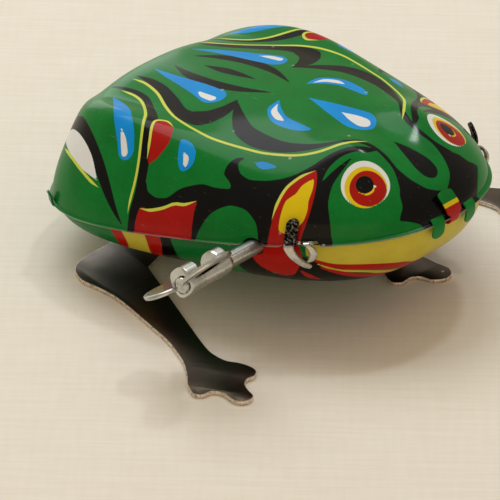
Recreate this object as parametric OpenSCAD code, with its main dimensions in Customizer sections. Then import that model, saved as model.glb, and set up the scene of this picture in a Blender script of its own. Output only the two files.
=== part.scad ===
/* [Body shells] */
// Length of the tin body from tail to nose
body_len = 76; // [66:1:92]
// Width factor of the body (half width before the haunches widen it)
body_half_w = 31.3; // [27:0.1:38]
// Height of the seam above the ground at mid length
seam_mid_z = 16; // [15:0.1:19]
// Rise of the seam from mid length to the nose
seam_rise = 6; // [3:0.1:8]
// Height of the upper shell above the seam
back_h = 16.8; // [15:0.1:21]
// Depth of the lower shell below the seam
belly_d = 12; // [11:0.1:13]
// Thickness of the tinplate
tin_t = 0.4; // [0.3:0.05:0.5]
// How far the lower shell tucks up inside the upper one
tuck = 0.8; // [0.5:0.1:1.5]
// Height of the haunch swelling over each hip
haunch_h = 5; // [3:0.1:6]

/* [Clockwork frame] */
// Distance between the two frame plates
frame_gap = 16; // [14:0.5:18]
// Thickness of a frame plate
plate_t = 0.8; // [0.6:0.1:1]
// Radius of the frame pillars
pillar_r = 1.2; // [1:0.1:1.5]
// Distance of the winding arbor ahead of mid length
key_x = 16; // [14:0.5:18]
// Height of the winding arbor above the seam at mid length
key_up = 1.6; // [0.8:0.1:2.4]
// Distance of the cam arbor behind mid length
cam_x = 6.5; // [6:0.1:7]
// Depth of the cam arbor below the seam at mid length
cam_down = 5.5; // [5.2:0.1:5.8]

/* [Gears] */
// Gear module, the pitch diameter for each tooth
gear_m = 0.5; // [0.48:0.01:0.52]
// Thickness of the brass wheels
wheel_t = 0.8; // [0.6:0.1:1]
// Radius of the winding arbor
arbor_r = 1.4; // [1.2:0.05:1.6]
// Radius of the pivots of the other arbors
pivot_r = 0.7; // [0.6:0.05:0.8]
// Running clearance of a pivot in its hole
run_gap = 0.05; // [0.03:0.01:0.08]

/* [Key] */
// Radius of each wing of the key
wing_r = 5; // [4.5:0.1:6]
// Distance of a wing centre from the shaft
wing_out = 5.8; // [5:0.1:6.5]
// Distance of the wing centres in from the outer end of the barrel
wing_set = 1.3; // [1:0.1:6]
// Length of the key barrel along the shaft
barrel_len = 15.5; // [14:0.5:18]
// Free shaft between the body and the key
key_reach = 2; // [1.6:0.1:6]
// Thickness of the key plate
key_t = 0.9; // [0.7:0.1:1.1]
// Turn of the key plate about its shaft at rest
key_turn = 47; // [0:1:90]

/* [Legs] */
// Thickness of the blued leg plates
leg_t = 0.8; // [0.6:0.1:1]
// Distance of the hip axle behind mid length
hip_x = 19; // [18.5:0.1:19.5]
// Depth of the hip axle below the seam at mid length
hip_down = 7.5; // [7.2:0.1:7.8]
// Radius of the hip axle
hip_r = 1; // [0.8:0.05:1.2]
// Distance from the middle of the toy to the inner face of a leg
leg_in = 12.6; // [12:0.1:14]
// Clearance between a steel leg and the slot that it passes through
slot_gap = 0.4; // [0.3:0.05:0.6]

/* [Hidden] */
$fn = 48;

half_len = body_len / 2;
key_z = seam_mid_z + key_up;
cam_z = seam_mid_z - cam_down;
hip_z = seam_mid_z - hip_down;
nest_gap = 0.12;            // air between the tucked rim and the upper shell
rim_steps = 64;             // points around the seam
dome_steps = 12;            // rings from the seam to the top
pitch = atan(seam_rise / half_len);
plate_in = frame_gap / 2;
plate_out = plate_in + plate_t;

// tooth counts of the train
great_teeth = 40;
second_pinion_teeth = 10;
second_teeth = 36;
cam_pinion_teeth = 10;
ratchet_teeth = 12;

key_at = [key_x, key_z];
cam_at = [-cam_x, cam_z];
hip_at = [-hip_x, hip_z];
great_dist = gear_m * (great_teeth + second_pinion_teeth) / 2;
second_dist = gear_m * (second_teeth + cam_pinion_teeth) / 2;

// the second arbor sits above the line between the other two, at both gear distances
span = norm(cam_at - key_at);
span_dir = (cam_at - key_at) / span;
span_up = [span_dir[1], -span_dir[0]];
second_along = (great_dist * great_dist - second_dist * second_dist + span * span) / (2 * span);
second_rise = sqrt(max(0, great_dist * great_dist - second_along * second_along));
second_at = key_at + second_along * span_dir + second_rise * span_up;

// places along the shafts, measured from the middle of the toy towards its left
spring_y = [-6.6, -1.5];
ratchet_y = [-1, -0.3];
great_y = [0.2, 0.2 + wheel_t];
second_pinion_y = [-0.1, 1.6];
second_y = [2, 2 + wheel_t];
cam_pinion_y = [1.6, 3.2];
cam_y = [-4.8, -3.8];

// ---- body surface ----
function seam_z(x) = seam_mid_z + seam_rise * x / half_len;
function half_w(s) = body_half_w * pow(max(0, 1 - pow(abs(s), 2.3)), 1 / 2.3) * (1 - 0.27 * s + 0.11 * s * s);
function back_line(s) = let(t = s < -0.6 ? (-0.6 - s) / 0.4 : (s + 0.6) / 1.6, e = s < -0.6 ? 4 : 2.35)
    back_h * pow(max(0, 1 - pow(t, e)), 0.6);
function swell(s, v) = (1 - pow(abs(v), 4)) * (1 - pow(abs(s), 6)) * (
    haunch_h * exp(-pow((s + 0.52) / 0.51, 2) - pow((abs(v) - 0.72) / 0.15, 2)) +
    1.9 * exp(-pow((s - 0.59) / 0.18, 2) - pow((abs(v) - 0.35) / 0.22, 2)));
function back_z(s, v) = back_line(s) * pow(max(0, 1 - pow(abs(v), 2.5)), 0.6) + swell(s, v);
function belly_z(s, v) = -belly_d * sqrt(max(0, 1 - pow(s, 4))) * sqrt(max(0, 1 - pow(abs(v), 3))) * (1 + 0.28 * s);

// a point of the seam outline and one moved in from it towards the middle
function rim(a) = let(c = cos(a), s = sign(c) * pow(abs(c), 0.8)) [s, sign(sin(a)) * half_w(s)];
function inward(a, k) = let(p = rim(a), s = p[0] * k, w = half_w(s), y = p[1] * k)
    [s, w > 0 ? max(-1, min(1, y / w)) : 0, y];
function upper_pt(a, k) = let(q = inward(a, k), x = q[0] * half_len) [x, q[2], seam_z(x) + back_z(q[0], q[1])];
function lower_pt(a, k) = let(q = inward(a, k), x = q[0] * half_len) [x, q[2], seam_z(x) + belly_z(q[0], q[1])];

// the same point on a body made smaller all round by t
function shrink(p, t, h) = let(x = p[0] * (1 - t / half_len))
    [x, p[1] * (1 - t / body_half_w), seam_z(x) + (p[2] - seam_z(p[0])) * (1 - t / h)];
function ring_at(k) = k >= dome_steps ? 0 : cos(90 * k / dome_steps);
function angle_at(i) = 360 * i / rim_steps;

// closed skin between rings of outer and inner points; the last ring of each is one point
module skin(outer, inner, flip) {
    rings = len(outer);
    m = rim_steps;
    flat_outer = [for (r = [0:rings - 2]) for (p = outer[r]) p];
    flat_inner = [for (r = [0:rings - 2]) for (p = inner[r]) p];
    n = len(flat_outer);
    apex_o = 2 * n;
    apex_i = 2 * n + 1;
    walls = [for (r = [0:rings - 3]) for (i = [0:m - 1]) let(a = r * m + i, b = r * m + (i + 1) % m)
        each [[a, b, b + m], [a, b + m, a + m], [n + a, n + b + m, n + b], [n + a, n + a + m, n + b + m]]];
    caps = [for (i = [0:m - 1]) let(a = (rings - 2) * m + i, b = (rings - 2) * m + (i + 1) % m)
        each [[a, b, apex_o], [n + a, apex_i, n + b]]];
    rims = [for (i = [0:m - 1]) let(j = (i + 1) % m) each [[i, n + j, j], [i, n + i, n + j]]];
    faces = concat(walls, caps, rims);
    polyhedron(points = concat(flat_outer, flat_inner, [outer[rings - 1][0], inner[rings - 1][0]]),
        faces = [for (f = faces) flip ? f : [f[2], f[1], f[0]]]);
}

function upper_rings() = [for (k = [0:dome_steps]) k == dome_steps ? [upper_pt(0, 0)] :
    [for (i = [0:rim_steps - 1]) upper_pt(angle_at(i), ring_at(k))]];
function lower_rings() = [for (k = [0:dome_steps]) k == dome_steps ? [lower_pt(0, 0)] :
    [for (i = [0:rim_steps - 1]) lower_pt(angle_at(i), ring_at(k))]];
function shrink_all(rings, t, h) = [for (r = rings) [for (p = r) shrink(p, t, h)]];
function raised(rings, dz) = concat([[for (p = rings[0]) p + [0, 0, dz]]], rings);

// ---- small helpers ----
// a flat outline in x and z, standing between y[0] and y[1]
module plate_y(y) { translate([0, y[1], 0]) rotate([90, 0, 0]) linear_extrude(y[1] - y[0]) children(); }
module rod_y(at, y, r) { plate_y(y) translate(at) circle(r); }
module at_seam(x) { translate([x, 0, seam_z(x)]) rotate([0, -pitch, 0]) children(); }

// gear outline with straight flanks that narrow to a rounded tip
module gear_shape(teeth, add, ded, share) {
    r = gear_m * teeth / 2;
    step = 360 / teeth;
    union() {
        circle(r - ded);
        for (i = [0:teeth - 1]) rotate(i * step) polygon([
            [r - ded - 0.1, -(r - ded) * sin(step * share * 0.62)], [r, -r * sin(step * share / 2)],
            [r + add * 0.6, -r * sin(step * share * 0.36)], [r + add, -r * sin(step * share * 0.12)],
            [r + add, r * sin(step * share * 0.12)], [r + add * 0.6, r * sin(step * share * 0.36)],
            [r, r * sin(step * share / 2)], [r - ded - 0.1, (r - ded) * sin(step * share * 0.62)]]);
    }
}
module wheel_shape(teeth) { gear_shape(teeth, gear_m * 0.7, gear_m * 1.15, 0.42); }
module pinion_shape(teeth) { gear_shape(teeth, gear_m * 0.6, gear_m * 1.1, 0.34); }
// angle of the line from one shaft to another in the x-z plane
function line_angle(a, b) = atan2(b[1] - a[1], b[0] - a[0]);

// ---- shells ----
claw_x = 23.6;
claw_w = 5.6;
claw_t = 0.6;
claw_gap = 0.15;            // air round a claw where it leaves the seam
finger_gap = 0.35;          // a bent finger stands this far off the seam line
finger_w = 2.2;
up_finger = 4.3;
long_finger = 4.6;
short_finger = 3;
claw_reach = half_w(claw_x / half_len);
key_side = half_w(key_x / half_len);
slot_w = leg_t + 2 * slot_gap;
slot_len = 12;
foot_y = plate_out;
foot_slot_x = 17;

// the frame of a seam point: x along the seam outline, y outwards, z up the side
module at_rim(x, side) {
    translate([x, side * half_w(x / half_len), seam_z(x)]) mirror([0, side < 0 ? 1 : 0, 0])
        rotate([0, -pitch, -rim_turn(x / half_len)]) children();
}
module claw_cut() {
    for (side = [-1, 1]) at_rim(claw_x, side)
        cube([claw_w + 2 * claw_gap, 8, claw_t + 2 * claw_gap], center = true);
}
module key_hole() {
    hole_r = arbor_r + 0.5;
    plate_y([-key_side - 2, -plate_out - 6]) translate(key_at) union() {
        circle(hole_r);
        translate([-hole_r, 0]) square([2 * hole_r, 4]);
    }
}
// outward direction of the seam outline at a distance s along the body, in degrees
function rim_turn(s) = atan2((half_w(s - 0.004) - half_w(s + 0.004)) / (0.008 * half_len), 1);
// a flat tab on the seam, leaning against the outside of the shell
module rim_tab(s, side, w, z0, z1, off) {
    translate([s * half_len, side * half_w(s), seam_z(s * half_len)]) rotate([0, 0, side * (90 - rim_turn(s))])
        translate([off - tin_t, -w / 2, z0]) cube([tin_t, w, z1 - z0]);
}
nose_tab_s = 0.985;
nose_tab_w = 2.6;
nose_tab_len = 3.4;
tail_tab_s = -0.72;

module upper_shell() {
    color("forestgreen") difference() {
        union() {
            skin(upper_rings(), shrink_all(upper_rings(), tin_t, back_h), true);
            for (side = [-1, 1]) rim_tab(nose_tab_s, side, nose_tab_w, -nose_tab_len, 0.3, 0.1);
            for (side = [-1, 1]) rim_tab(tail_tab_s, side, nose_tab_w, -1.2, 0.3, 0.1);
        }
        claw_cut();
        plate_y([-key_side - 2, -plate_out - 6]) translate(key_at) circle(arbor_r + 0.3);
    }
}
module lower_shell() {
    inset = tin_t + nest_gap;
    outer = raised(shrink_all(lower_rings(), inset, belly_d + 100), tuck);
    inner = raised(shrink_all(lower_rings(), inset + tin_t, belly_d), tuck);
    tip_x = half_len - inset;
    color("goldenrod") difference() {
        union() {
            skin(outer, inner, false);
            translate([tip_x - 0.5, -nose_tab_w / 2, seam_z(half_len) - 0.8]) cube([1.4, nose_tab_w, tin_t]);
            translate([half_len + 0.4, -nose_tab_w / 2, seam_z(half_len) - 0.8])
                cube([tin_t, nose_tab_w, nose_tab_len]);
        }
        claw_cut();
        key_hole();
        for (side = [-1, 1]) translate([-hip_x - 1.5, side * (leg_in + leg_t / 2), hip_z - 4.5])
            cube([slot_len, slot_w, 9], center = true);
        translate([foot_slot_x, foot_y + leg_t / 2, hip_z - 3.5])
            cube([foot_strip_w + 1.4, slot_w, 9], center = true);
    }
}

// ---- frame ----
pillar_at = [[key_x + 12, key_z - 1], [-hip_x + 5, hip_z + 8], [second_at[0] + 1.4, second_at[1] + 11.2]];
peen = 0.3;                 // pillar ends stand proud of the plates by this

module plate_outline() {
    polygon([[-hip_x - 3, hip_z - 3], [-hip_x - 4, hip_z + 2], pillar_at[1] + [-2, 2], pillar_at[2] + [-3, 2],
        pillar_at[2] + [3, 2], [key_x + 6, key_z + 9], pillar_at[0] + [2.5, 3.5], pillar_at[0] + [2.5, -3.5],
        [key_x + 4, key_z - 9], [key_x - 8, key_z - 11], [-cam_x - 2, cam_z - 4.6]]);
}
// a strap from the plate out through the seam, with one finger bent up and two bent down
module claw() {
    strap = claw_reach - plate_out + 0.6;
    at_seam(claw_x) translate([-claw_w / 2, plate_out - 0.1, -claw_t / 2]) cube([claw_w, strap - 3, claw_t]);
    at_rim(claw_x, 1) {
        translate([-claw_w / 2, -4.6, -claw_t / 2]) cube([claw_w, 4.6 + finger_gap + claw_t, claw_t]);
        translate([-claw_w / 2, finger_gap, 0]) rotate([19, 0, 0]) cube([finger_w, claw_t, up_finger]);
        translate([-claw_w / 2, finger_gap, 0]) rotate([-6, 0, 0]) translate([0, 0, -long_finger])
            cube([finger_w, claw_t, long_finger]);
        translate([claw_w / 2 - finger_w, finger_gap, 0]) rotate([-6, 0, 0]) translate([0, 0, -short_finger])
            cube([finger_w, claw_t, short_finger]);
    }
}
module frame_plate(side, rivets) {
    y = side > 0 ? [plate_in, plate_out] : [-plate_out, -plate_in];
    plate_y(y) difference() {
        plate_outline();
        translate(key_at) circle(arbor_r + run_gap);
        translate(second_at) circle(pivot_r + run_gap);
        translate(cam_at) circle(pivot_r + run_gap);
        translate(hip_at) circle(hip_r + run_gap);
        for (p = pillar_at) translate(p) circle(pillar_r * 0.7);
        if (rivets) for (p = rivet_at) translate(p) circle(rivet_r);
    }
    mirror([0, side > 0 ? 0 : 1, 0]) claw();
}
module frame_plate_right() { color("silver") frame_plate(-1, false); }
module frame_plate_left() { color("silver") frame_plate(1, true); }
module frame_pillars() {
    color("gainsboro") for (p = pillar_at) {
        rod_y(p, [-plate_in, plate_in], pillar_r);
        rod_y(p, [-plate_out - peen, plate_out + peen], pillar_r * 0.7);
    }
}

// ---- spring and winding ----
coils = 6;
spring_t = 0.3;
spring_in = arbor_r + 0.3;
spring_out = 9.4;
function coil_r(a) = spring_in + (spring_out - spring_in) * a / (360 * coils);
function coil_pt(a, d) = (coil_r(a) + d) * [cos(a), sin(a)];
module mainspring() {
    turns = [for (a = [0:12:360 * coils]) a];
    hook_r = pillar_r + 0.12;
    hook = pillar_at[0] - key_at;
    color("slategray") plate_y(spring_y) translate(key_at) {
        polygon(concat([for (a = turns) coil_pt(a, 0)], [for (i = [len(turns) - 1:-1:0]) coil_pt(turns[i], -spring_t)]));
        polygon([[spring_out - 0.25, -0.7], [hook[0] - hook_r - 0.15, hook[1] - 0.1],
            [hook[0] - hook_r - 0.15, hook[1] + 0.25], [spring_out - 0.25, -0.4]]);
        translate(hook) difference() {
            circle(hook_r + spring_t);
            circle(hook_r);
        }
    }
}
barrel_y = [-key_side - key_reach - barrel_len, -key_side - key_reach];
module winding_arbor() { color("lightgray") rod_y(key_at, [barrel_y[0], plate_out + 0.6], arbor_r); }
module ratchet_shape(teeth, r_out, r_root) {
    polygon([for (i = [0:teeth - 1]) each [r_root * [cos(360 * i / teeth), sin(360 * i / teeth)],
        r_out * [cos(360 * (i + 1) / teeth), sin(360 * (i + 1) / teeth)]]]);
}
ratchet_phase = -7;         // a tooth tip stands right under the nose of the lifted click
module ratchet_wheel() {
    color("darkgray") plate_y(ratchet_y) translate(key_at) difference() {
        rotate(ratchet_phase) ratchet_shape(ratchet_teeth, 4, 3.1);
        circle(arbor_r);
    }
}

// the key is one stamped plate: a rolled barrel with two round wings
module key_section() {
    difference() {
        union() {
            circle(arbor_r + key_t);
            rotate(key_turn) square([2 * (arbor_r + 2.2), key_t], center = true);
        }
        circle(arbor_r);
    }
}
module key_wings() {
    translate([key_x, barrel_y[0] + wing_set, key_z]) rotate([0, -key_turn, 0]) difference() {
        translate([0, 0, -key_t / 2]) linear_extrude(key_t) union() {
            for (side = [-1, 1]) translate([side * wing_out, 0]) circle(wing_r);
            square([2 * wing_out, 2 * wing_r * 0.8], center = true);
        }
        rotate([90, 0, 0]) cylinder(r = arbor_r + 0.3, h = 40, center = true);
    }
}
module winding_key() {
    color("whitesmoke") union() {
        plate_y(barrel_y) translate(key_at) key_section();
        key_wings();
    }
}

// ---- train ----
module wheel_with_spokes(teeth, bore, spokes) {
    r = gear_m * teeth / 2;
    difference() {
        wheel_shape(teeth);
        circle(bore);
        for (i = [0:spokes - 1]) rotate(360 * (i + 0.5) / spokes) translate([r * 0.58, 0]) circle(r * 0.2);
    }
}
click_pin_at = 7.5 * [cos(150), sin(150)];
click_pin_r = 0.5;
module great_wheel() {
    color("goldenrod") plate_y(great_y) translate(key_at) difference() {
        rotate(line_angle(key_at, second_at)) wheel_shape(great_teeth);
        circle(arbor_r + run_gap);
        translate(click_pin_at) circle(click_pin_r);
        for (a = [30, 270]) rotate(a) translate([6, 0]) circle(2);
    }
}
click_lift = 12;            // the click is drawn riding on a tooth tip, this far above its seat
module click() {
    // seated, the nose drops into the ratchet just behind a tooth face at 120 degrees
    nose = [3.25 * [cos(121.5), sin(121.5)], 4.6 * [cos(122), sin(122)]];
    heel = [4.56 * [cos(136), sin(136)], 3.5 * [cos(128), sin(128)]];
    color("darkgray") plate_y([ratchet_y[0], ratchet_y[1]]) translate(key_at + click_pin_at) difference() {
        rotate(click_lift) union() {
            circle(1);
            polygon([nose[0] - click_pin_at, nose[1] - click_pin_at, [0.2, 0.9], [-0.2, -0.9],
                heel[0] - click_pin_at, heel[1] - click_pin_at]);
        }
        circle(click_pin_r + run_gap);
    }
}
module click_pin() {
    color("gray") {
        rod_y(key_at + click_pin_at, [ratchet_y[0] - 0.1, great_y[1] + 0.2], click_pin_r);
        rod_y(key_at + click_pin_at, [ratchet_y[0] - 0.4, ratchet_y[0] - 0.1], 0.9);
    }
}
module click_spring() {
    post = [-0.6, 7.4];
    color("lightslategray") {
        plate_y([ratchet_y[0], great_y[0]]) translate(key_at + post) circle(0.5);
        plate_y([ratchet_y[0], ratchet_y[1]]) translate(key_at)
            polygon([post + [0, 0.3], post + [0, -0.1], [-3.9, 5.1], [-4.6, 4.95], [-4.7, 5.2], [-3.8, 5.45]]);
    }
}
module second_arbor() { color("lightgray") rod_y(second_at, [-plate_out - 0.3, plate_out + 0.3], pivot_r); }
module second_pinion() {
    color("darkgoldenrod") plate_y(second_pinion_y) translate(second_at) difference() {
        rotate(line_angle(second_at, key_at) + 180 / second_pinion_teeth) pinion_shape(second_pinion_teeth);
        circle(pivot_r);
    }
}
module second_wheel() {
    color("goldenrod") plate_y(second_y) translate(second_at)
        rotate(line_angle(second_at, cam_at)) wheel_with_spokes(second_teeth, pivot_r, 4);
}
module cam_arbor() { color("lightgray") rod_y(cam_at, [-plate_out - 0.3, plate_out + 0.3], pivot_r); }
module cam_pinion() {
    color("darkgoldenrod") plate_y(cam_pinion_y) translate(cam_at) difference() {
        rotate(line_angle(cam_at, second_at) + 180 / cam_pinion_teeth) pinion_shape(cam_pinion_teeth);
        circle(pivot_r);
    }
}

// ---- kick ----
arm_tip = [7.5, -1];        // the cam pushes this tip down and back, and the legs swing down with it
tip_r = 0.5;
cam_low = 1.5;
cam_high = norm(hip_at + arm_tip - cam_at) - tip_r - 0.15;
module kick_cam() {
    color("gray") plate_y(cam_y) translate(cam_at) difference() {
        polygon([for (a = [170:10:450]) (cam_low + (cam_high - cam_low) * (a - 170) / 280) * [cos(a), sin(a)]]);
        circle(pivot_r);
    }
}
axle_end = leg_in + leg_t + 0.6;
module hip_axle() { color("lightgray") rod_y(hip_at, [-axle_end, axle_end], hip_r); }
module hip_collars() {
    color("gainsboro") for (side = [-1, 1]) plate_y(side > 0 ? [plate_out + 0.2, leg_in] : [-leg_in, -plate_out - 0.2])
        translate(hip_at) difference() {
            circle(hip_r + 0.8);
            circle(hip_r);
        }
}
module kick_arm() {
    dir = atan2(arm_tip[1], arm_tip[0]);
    color("gray") plate_y(cam_y) translate(hip_at) difference() {
        polygon(concat([for (a = [dir + 70:20:dir + 290]) 2.2 * [cos(a), sin(a)]],
            [for (a = [dir - 90:30:dir + 90]) arm_tip + tip_r * [cos(a), sin(a)]]));
        circle(hip_r);
    }
}

// a round wire swept along points, with flat ends
function unit(v) = v / norm(v);
function wire_ring(pts, i, r, sides) = let(
    t = unit(pts[min(len(pts) - 1, i + 1)] - pts[max(0, i - 1)]),
    u = unit(cross(t, abs(t[1]) < 0.9 ? [0, 1, 0] : [1, 0, 0])), v = cross(t, u))
    [for (j = [0:sides - 1]) pts[i] + r * (u * cos(360 * j / sides) + v * sin(360 * j / sides))];
module wire(pts, r, sides) {
    n = len(pts);
    polyhedron(points = [for (i = [0:n - 1]) each wire_ring(pts, i, r, sides)], faces = concat(
        [[for (j = [0:sides - 1]) j]], [[for (j = [0:sides - 1]) n * sides - 1 - j]],
        [for (i = [0:n - 2]) for (j = [0:sides - 1]) let(k = (j + 1) % sides)
            each [[i * sides + j, (i + 1) * sides + j, (i + 1) * sides + k],
                [i * sides + j, (i + 1) * sides + k, i * sides + k]]]));
}
kick_coils = 4;
kick_spring_r = hip_r + 0.7;
kick_wire = 0.2;
module kick_spring() {
    first = cam_y[1] + 0.5;
    coil = [for (a = [0:20:360 * kick_coils + 180]) [-hip_x + kick_spring_r * cos(a + 90),
        first + 0.55 * a / 360, hip_z + kick_spring_r * sin(a + 90)]];
    last = coil[len(coil) - 1];
    color("lightslategray") wire(concat([[-hip_x + 6, first, hip_z],
        [-hip_x + 3, first, hip_z + kick_spring_r - 0.3]], coil,
        [last + [2, 0, -0.1], last + [5, 0, -0.5]]), kick_wire, 6);
}

// flat outline of a rear leg from the foot of its ear, x forward and y outward
knee = [1.8, 15];
knee_r = 5.5;
module leg_flat() {
    translate([-hip_x, leg_in]) union() {
        translate(knee) circle(knee_r);
        polygon([[-4, 0], [4, 0], [6.6, 9.2], [13.3, 12.7], [19.9, 16.2], [26.3, 19.6], [30.5, 21.8],
            [34.2, 23.4], [37.2, 23.6], [39.4, 23], [41.8, 22.8], [44.6, 26], [45.9, 27.4], [47, 28.4],
            [47.3, 32.4], [44.4, 31.8], [42.8, 32.6], [41, 33.8], [39.5, 34.2], [38.1, 33.7], [35.8, 31.4],
            [33, 29.1], [29.6, 27.2], [25.9, 25.5], [19.5, 23.5], [13.2, 21.6], [8.9, 20.6], [2.8, 20.4],
            [-3.4, 16.4], [-4, 13.2], [-4.7, 8.4]]);
        translate([41.1, 33.9]) circle(1.6);
        translate([47.4, 30.4]) circle(2);
        translate([42.4, 24.6]) circle(2.3);
    }
}
module leg_ear() {
    plate_y([leg_in, leg_in + leg_t]) difference() {
        union() {
            translate(hip_at) circle(2.6);
            polygon([[-hip_x - 4, 0], [-hip_x + 4, 0], [-hip_x + 2.6, hip_z], [-hip_x - 2.6, hip_z]]);
        }
        translate(hip_at) circle(hip_r);
    }
}
module rear_leg() {
    linear_extrude(leg_t) leg_flat();
    leg_ear();
}
module rear_leg_left() { color("dimgray") rear_leg(); }
module rear_leg_right() { color("dimgray") mirror([0, 1, 0]) rear_leg(); }

rivet_r = 0.6;
rivet_at = [[foot_slot_x, seam_mid_z - 5], [foot_slot_x, seam_mid_z - 2.4]];
foot_strip_w = 5.6;
// one plate: a webbed foot on the ground and a strip that rises to the frame
module front_foot() {
    color("dimgray") union() {
        linear_extrude(leg_t) translate([foot_slot_x, foot_y]) union() {
            polygon([[-2.8, 0], [-2, -2.2], [4.6, -5.4], [6.6, -3.9], [6.6, -2], [7.6, -0.6], [9, 4.8],
                [4, 5], [-2.4, 2.8]]);
            translate([5.5, -4.2]) circle(1.4);
            translate([8.7, 2.1]) circle(2.8);
        }
        plate_y([foot_y, foot_y + leg_t]) difference() {
            translate([foot_slot_x - foot_strip_w / 2, 0]) square([foot_strip_w, seam_mid_z - 0.6]);
            for (p = rivet_at) translate(p) circle(rivet_r);
        }
    }
}
module front_foot_rivets() {
    color("silver") for (p = rivet_at) {
        rod_y(p, [plate_in - 0.3, foot_y + leg_t + 0.3], rivet_r);
        rod_y(p, [foot_y + leg_t, foot_y + leg_t + 0.4], rivet_r + 0.5);
    }
}

upper_shell();
lower_shell();
frame_plate_right();
frame_plate_left();
frame_pillars();
mainspring();
winding_arbor();
winding_key();
ratchet_wheel();
great_wheel();
click();
click_pin();
click_spring();
second_arbor();
second_pinion();
second_wheel();
cam_arbor();
cam_pinion();
kick_cam();
hip_axle();
hip_collars();
rear_leg_right();
rear_leg_left();
kick_arm();
kick_spring();
front_foot();
front_foot_rivets();
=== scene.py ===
import math

import bmesh
import bpy
import numpy as np
from mathutils import Matrix, Vector


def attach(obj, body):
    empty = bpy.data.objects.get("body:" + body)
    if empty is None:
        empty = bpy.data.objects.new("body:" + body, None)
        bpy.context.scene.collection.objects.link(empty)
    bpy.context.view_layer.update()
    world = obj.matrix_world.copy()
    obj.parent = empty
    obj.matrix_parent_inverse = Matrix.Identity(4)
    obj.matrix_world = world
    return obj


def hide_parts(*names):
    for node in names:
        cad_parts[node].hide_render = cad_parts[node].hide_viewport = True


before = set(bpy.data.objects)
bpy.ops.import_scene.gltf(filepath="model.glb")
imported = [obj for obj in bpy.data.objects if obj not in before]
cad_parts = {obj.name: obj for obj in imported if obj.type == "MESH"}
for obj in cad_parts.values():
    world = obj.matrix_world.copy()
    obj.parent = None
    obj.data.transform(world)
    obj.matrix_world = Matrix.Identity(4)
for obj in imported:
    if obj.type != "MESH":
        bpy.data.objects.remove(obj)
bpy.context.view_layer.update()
millimetre = 0.001


# node helpers

def tone(red, green, blue):
    # a paint colour given in ordinary 0-255 steps, as the linear colour a shader wants
    steps = [channel / 255 for channel in (red, green, blue)]
    linear = [c / 12.92 if c <= 0.04045 else ((c + 0.055) / 1.055) ** 2.4 for c in steps]
    return (*linear, 1.0)


def addNode(tree, kind, settings=None, feeds=None):
    made = tree.nodes.new(kind)
    for name, value in (settings or {}).items():
        setattr(made, name, value)
    for place, value in (feeds or {}).items():
        socket = made.inputs[place]
        if isinstance(value, bpy.types.NodeSocket):
            tree.links.new(value, socket)
        else:
            socket.default_value = value
    return made


def maths(tree, operation, first, second=0.0, third=0.0):
    feeds = {0: first, 1: second, 2: third}
    return addNode(tree, "ShaderNodeMath", {"operation": operation}, feeds).outputs[0]


def mixColour(tree, factor, first, second, blend="MIX"):
    settings = {"data_type": "RGBA", "blend_type": blend}
    return addNode(tree, "ShaderNodeMix", settings, {0: factor, 6: first, 7: second}).outputs[2]


def remap(tree, value, low, high, toLow=0.0, toHigh=1.0):
    feeds = {0: value, 1: low, 2: high, 3: toLow, 4: toHigh}
    return addNode(tree, "ShaderNodeMapRange", {}, feeds).outputs[0]


def attribute(tree, name):
    return addNode(tree, "ShaderNodeAttribute", {"attribute_name": name}).outputs["Fac"]


def newGroup(name, inputs, outputs):
    tree = bpy.data.node_groups.new(name, "ShaderNodeTree")
    for label, kind, value in inputs:
        socket = tree.interface.new_socket(name=label, in_out="INPUT", socket_type=kind)
        socket.default_value = value
    for label, kind in outputs:
        tree.interface.new_socket(name=label, in_out="OUTPUT", socket_type=kind)
    return tree, tree.nodes.new("NodeGroupInput").outputs, tree.nodes.new("NodeGroupOutput")


def placeGroup(tree, group, feeds=None):
    return addNode(tree, "ShaderNodeGroup", {"node_tree": group}, feeds).outputs


# shared effects

def makeHandling():
    # hairline scratches, cloudy handling marks and specks of dust, for any finish
    tree, given, out = newGroup(
        "handling",
        [("Scale", "NodeSocketFloat", 1.0), ("Scratches", "NodeSocketFloat", 0.5),
         ("Dust", "NodeSocketFloat", 0.5)],
        [("Scratch", "NodeSocketFloat"), ("Cloud", "NodeSocketFloat"), ("Speck", "NodeSocketFloat"),
         ("Grain", "NodeSocketFloat")])
    place = addNode(tree, "ShaderNodeTexCoord").outputs["Object"]
    scaled = addNode(tree, "ShaderNodeVectorMath", {"operation": "SCALE"}, {0: place, 3: given["Scale"]})
    where = scaled.outputs[0]
    hairs = []
    for turn in ((0.3, 0.2, 0.5), (1.1, 0.9, 2.1)):
        laid = addNode(tree, "ShaderNodeMapping", {}, {"Vector": where, "Rotation": turn,
                                                       "Scale": (90.0, 2600.0, 2600.0)})
        streak = addNode(tree, "ShaderNodeTexNoise", {}, {"Vector": laid.outputs[0], "Scale": 1.0,
                                                          "Detail": 1.0}).outputs[0]
        hairs.append(remap(tree, streak, 0.735, 0.8))
    hair = maths(tree, "MAXIMUM", hairs[0], hairs[1])
    tree.links.new(maths(tree, "MULTIPLY", hair, given["Scratches"]), out.inputs["Scratch"])
    cloud = addNode(tree, "ShaderNodeTexNoise", {}, {"Vector": where, "Scale": 180.0, "Detail": 4.0,
                                                     "Roughness": 0.6}).outputs[0]
    tree.links.new(remap(tree, cloud, 0.3, 0.72), out.inputs["Cloud"])
    cells = addNode(tree, "ShaderNodeTexVoronoi", {}, {"Vector": where, "Scale": 330.0})
    small = remap(tree, cells.outputs["Distance"], 0.13, 0.06)
    rare = maths(tree, "GREATER_THAN", cells.outputs["Color"], 0.78)
    speck = maths(tree, "MULTIPLY", maths(tree, "MULTIPLY", small, rare), given["Dust"])
    tree.links.new(speck, out.inputs["Speck"])
    grain = addNode(tree, "ShaderNodeTexNoise", {}, {"Vector": where, "Scale": 2200.0, "Detail": 2.0})
    tree.links.new(grain.outputs[0], out.inputs["Grain"])
    return tree


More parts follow.
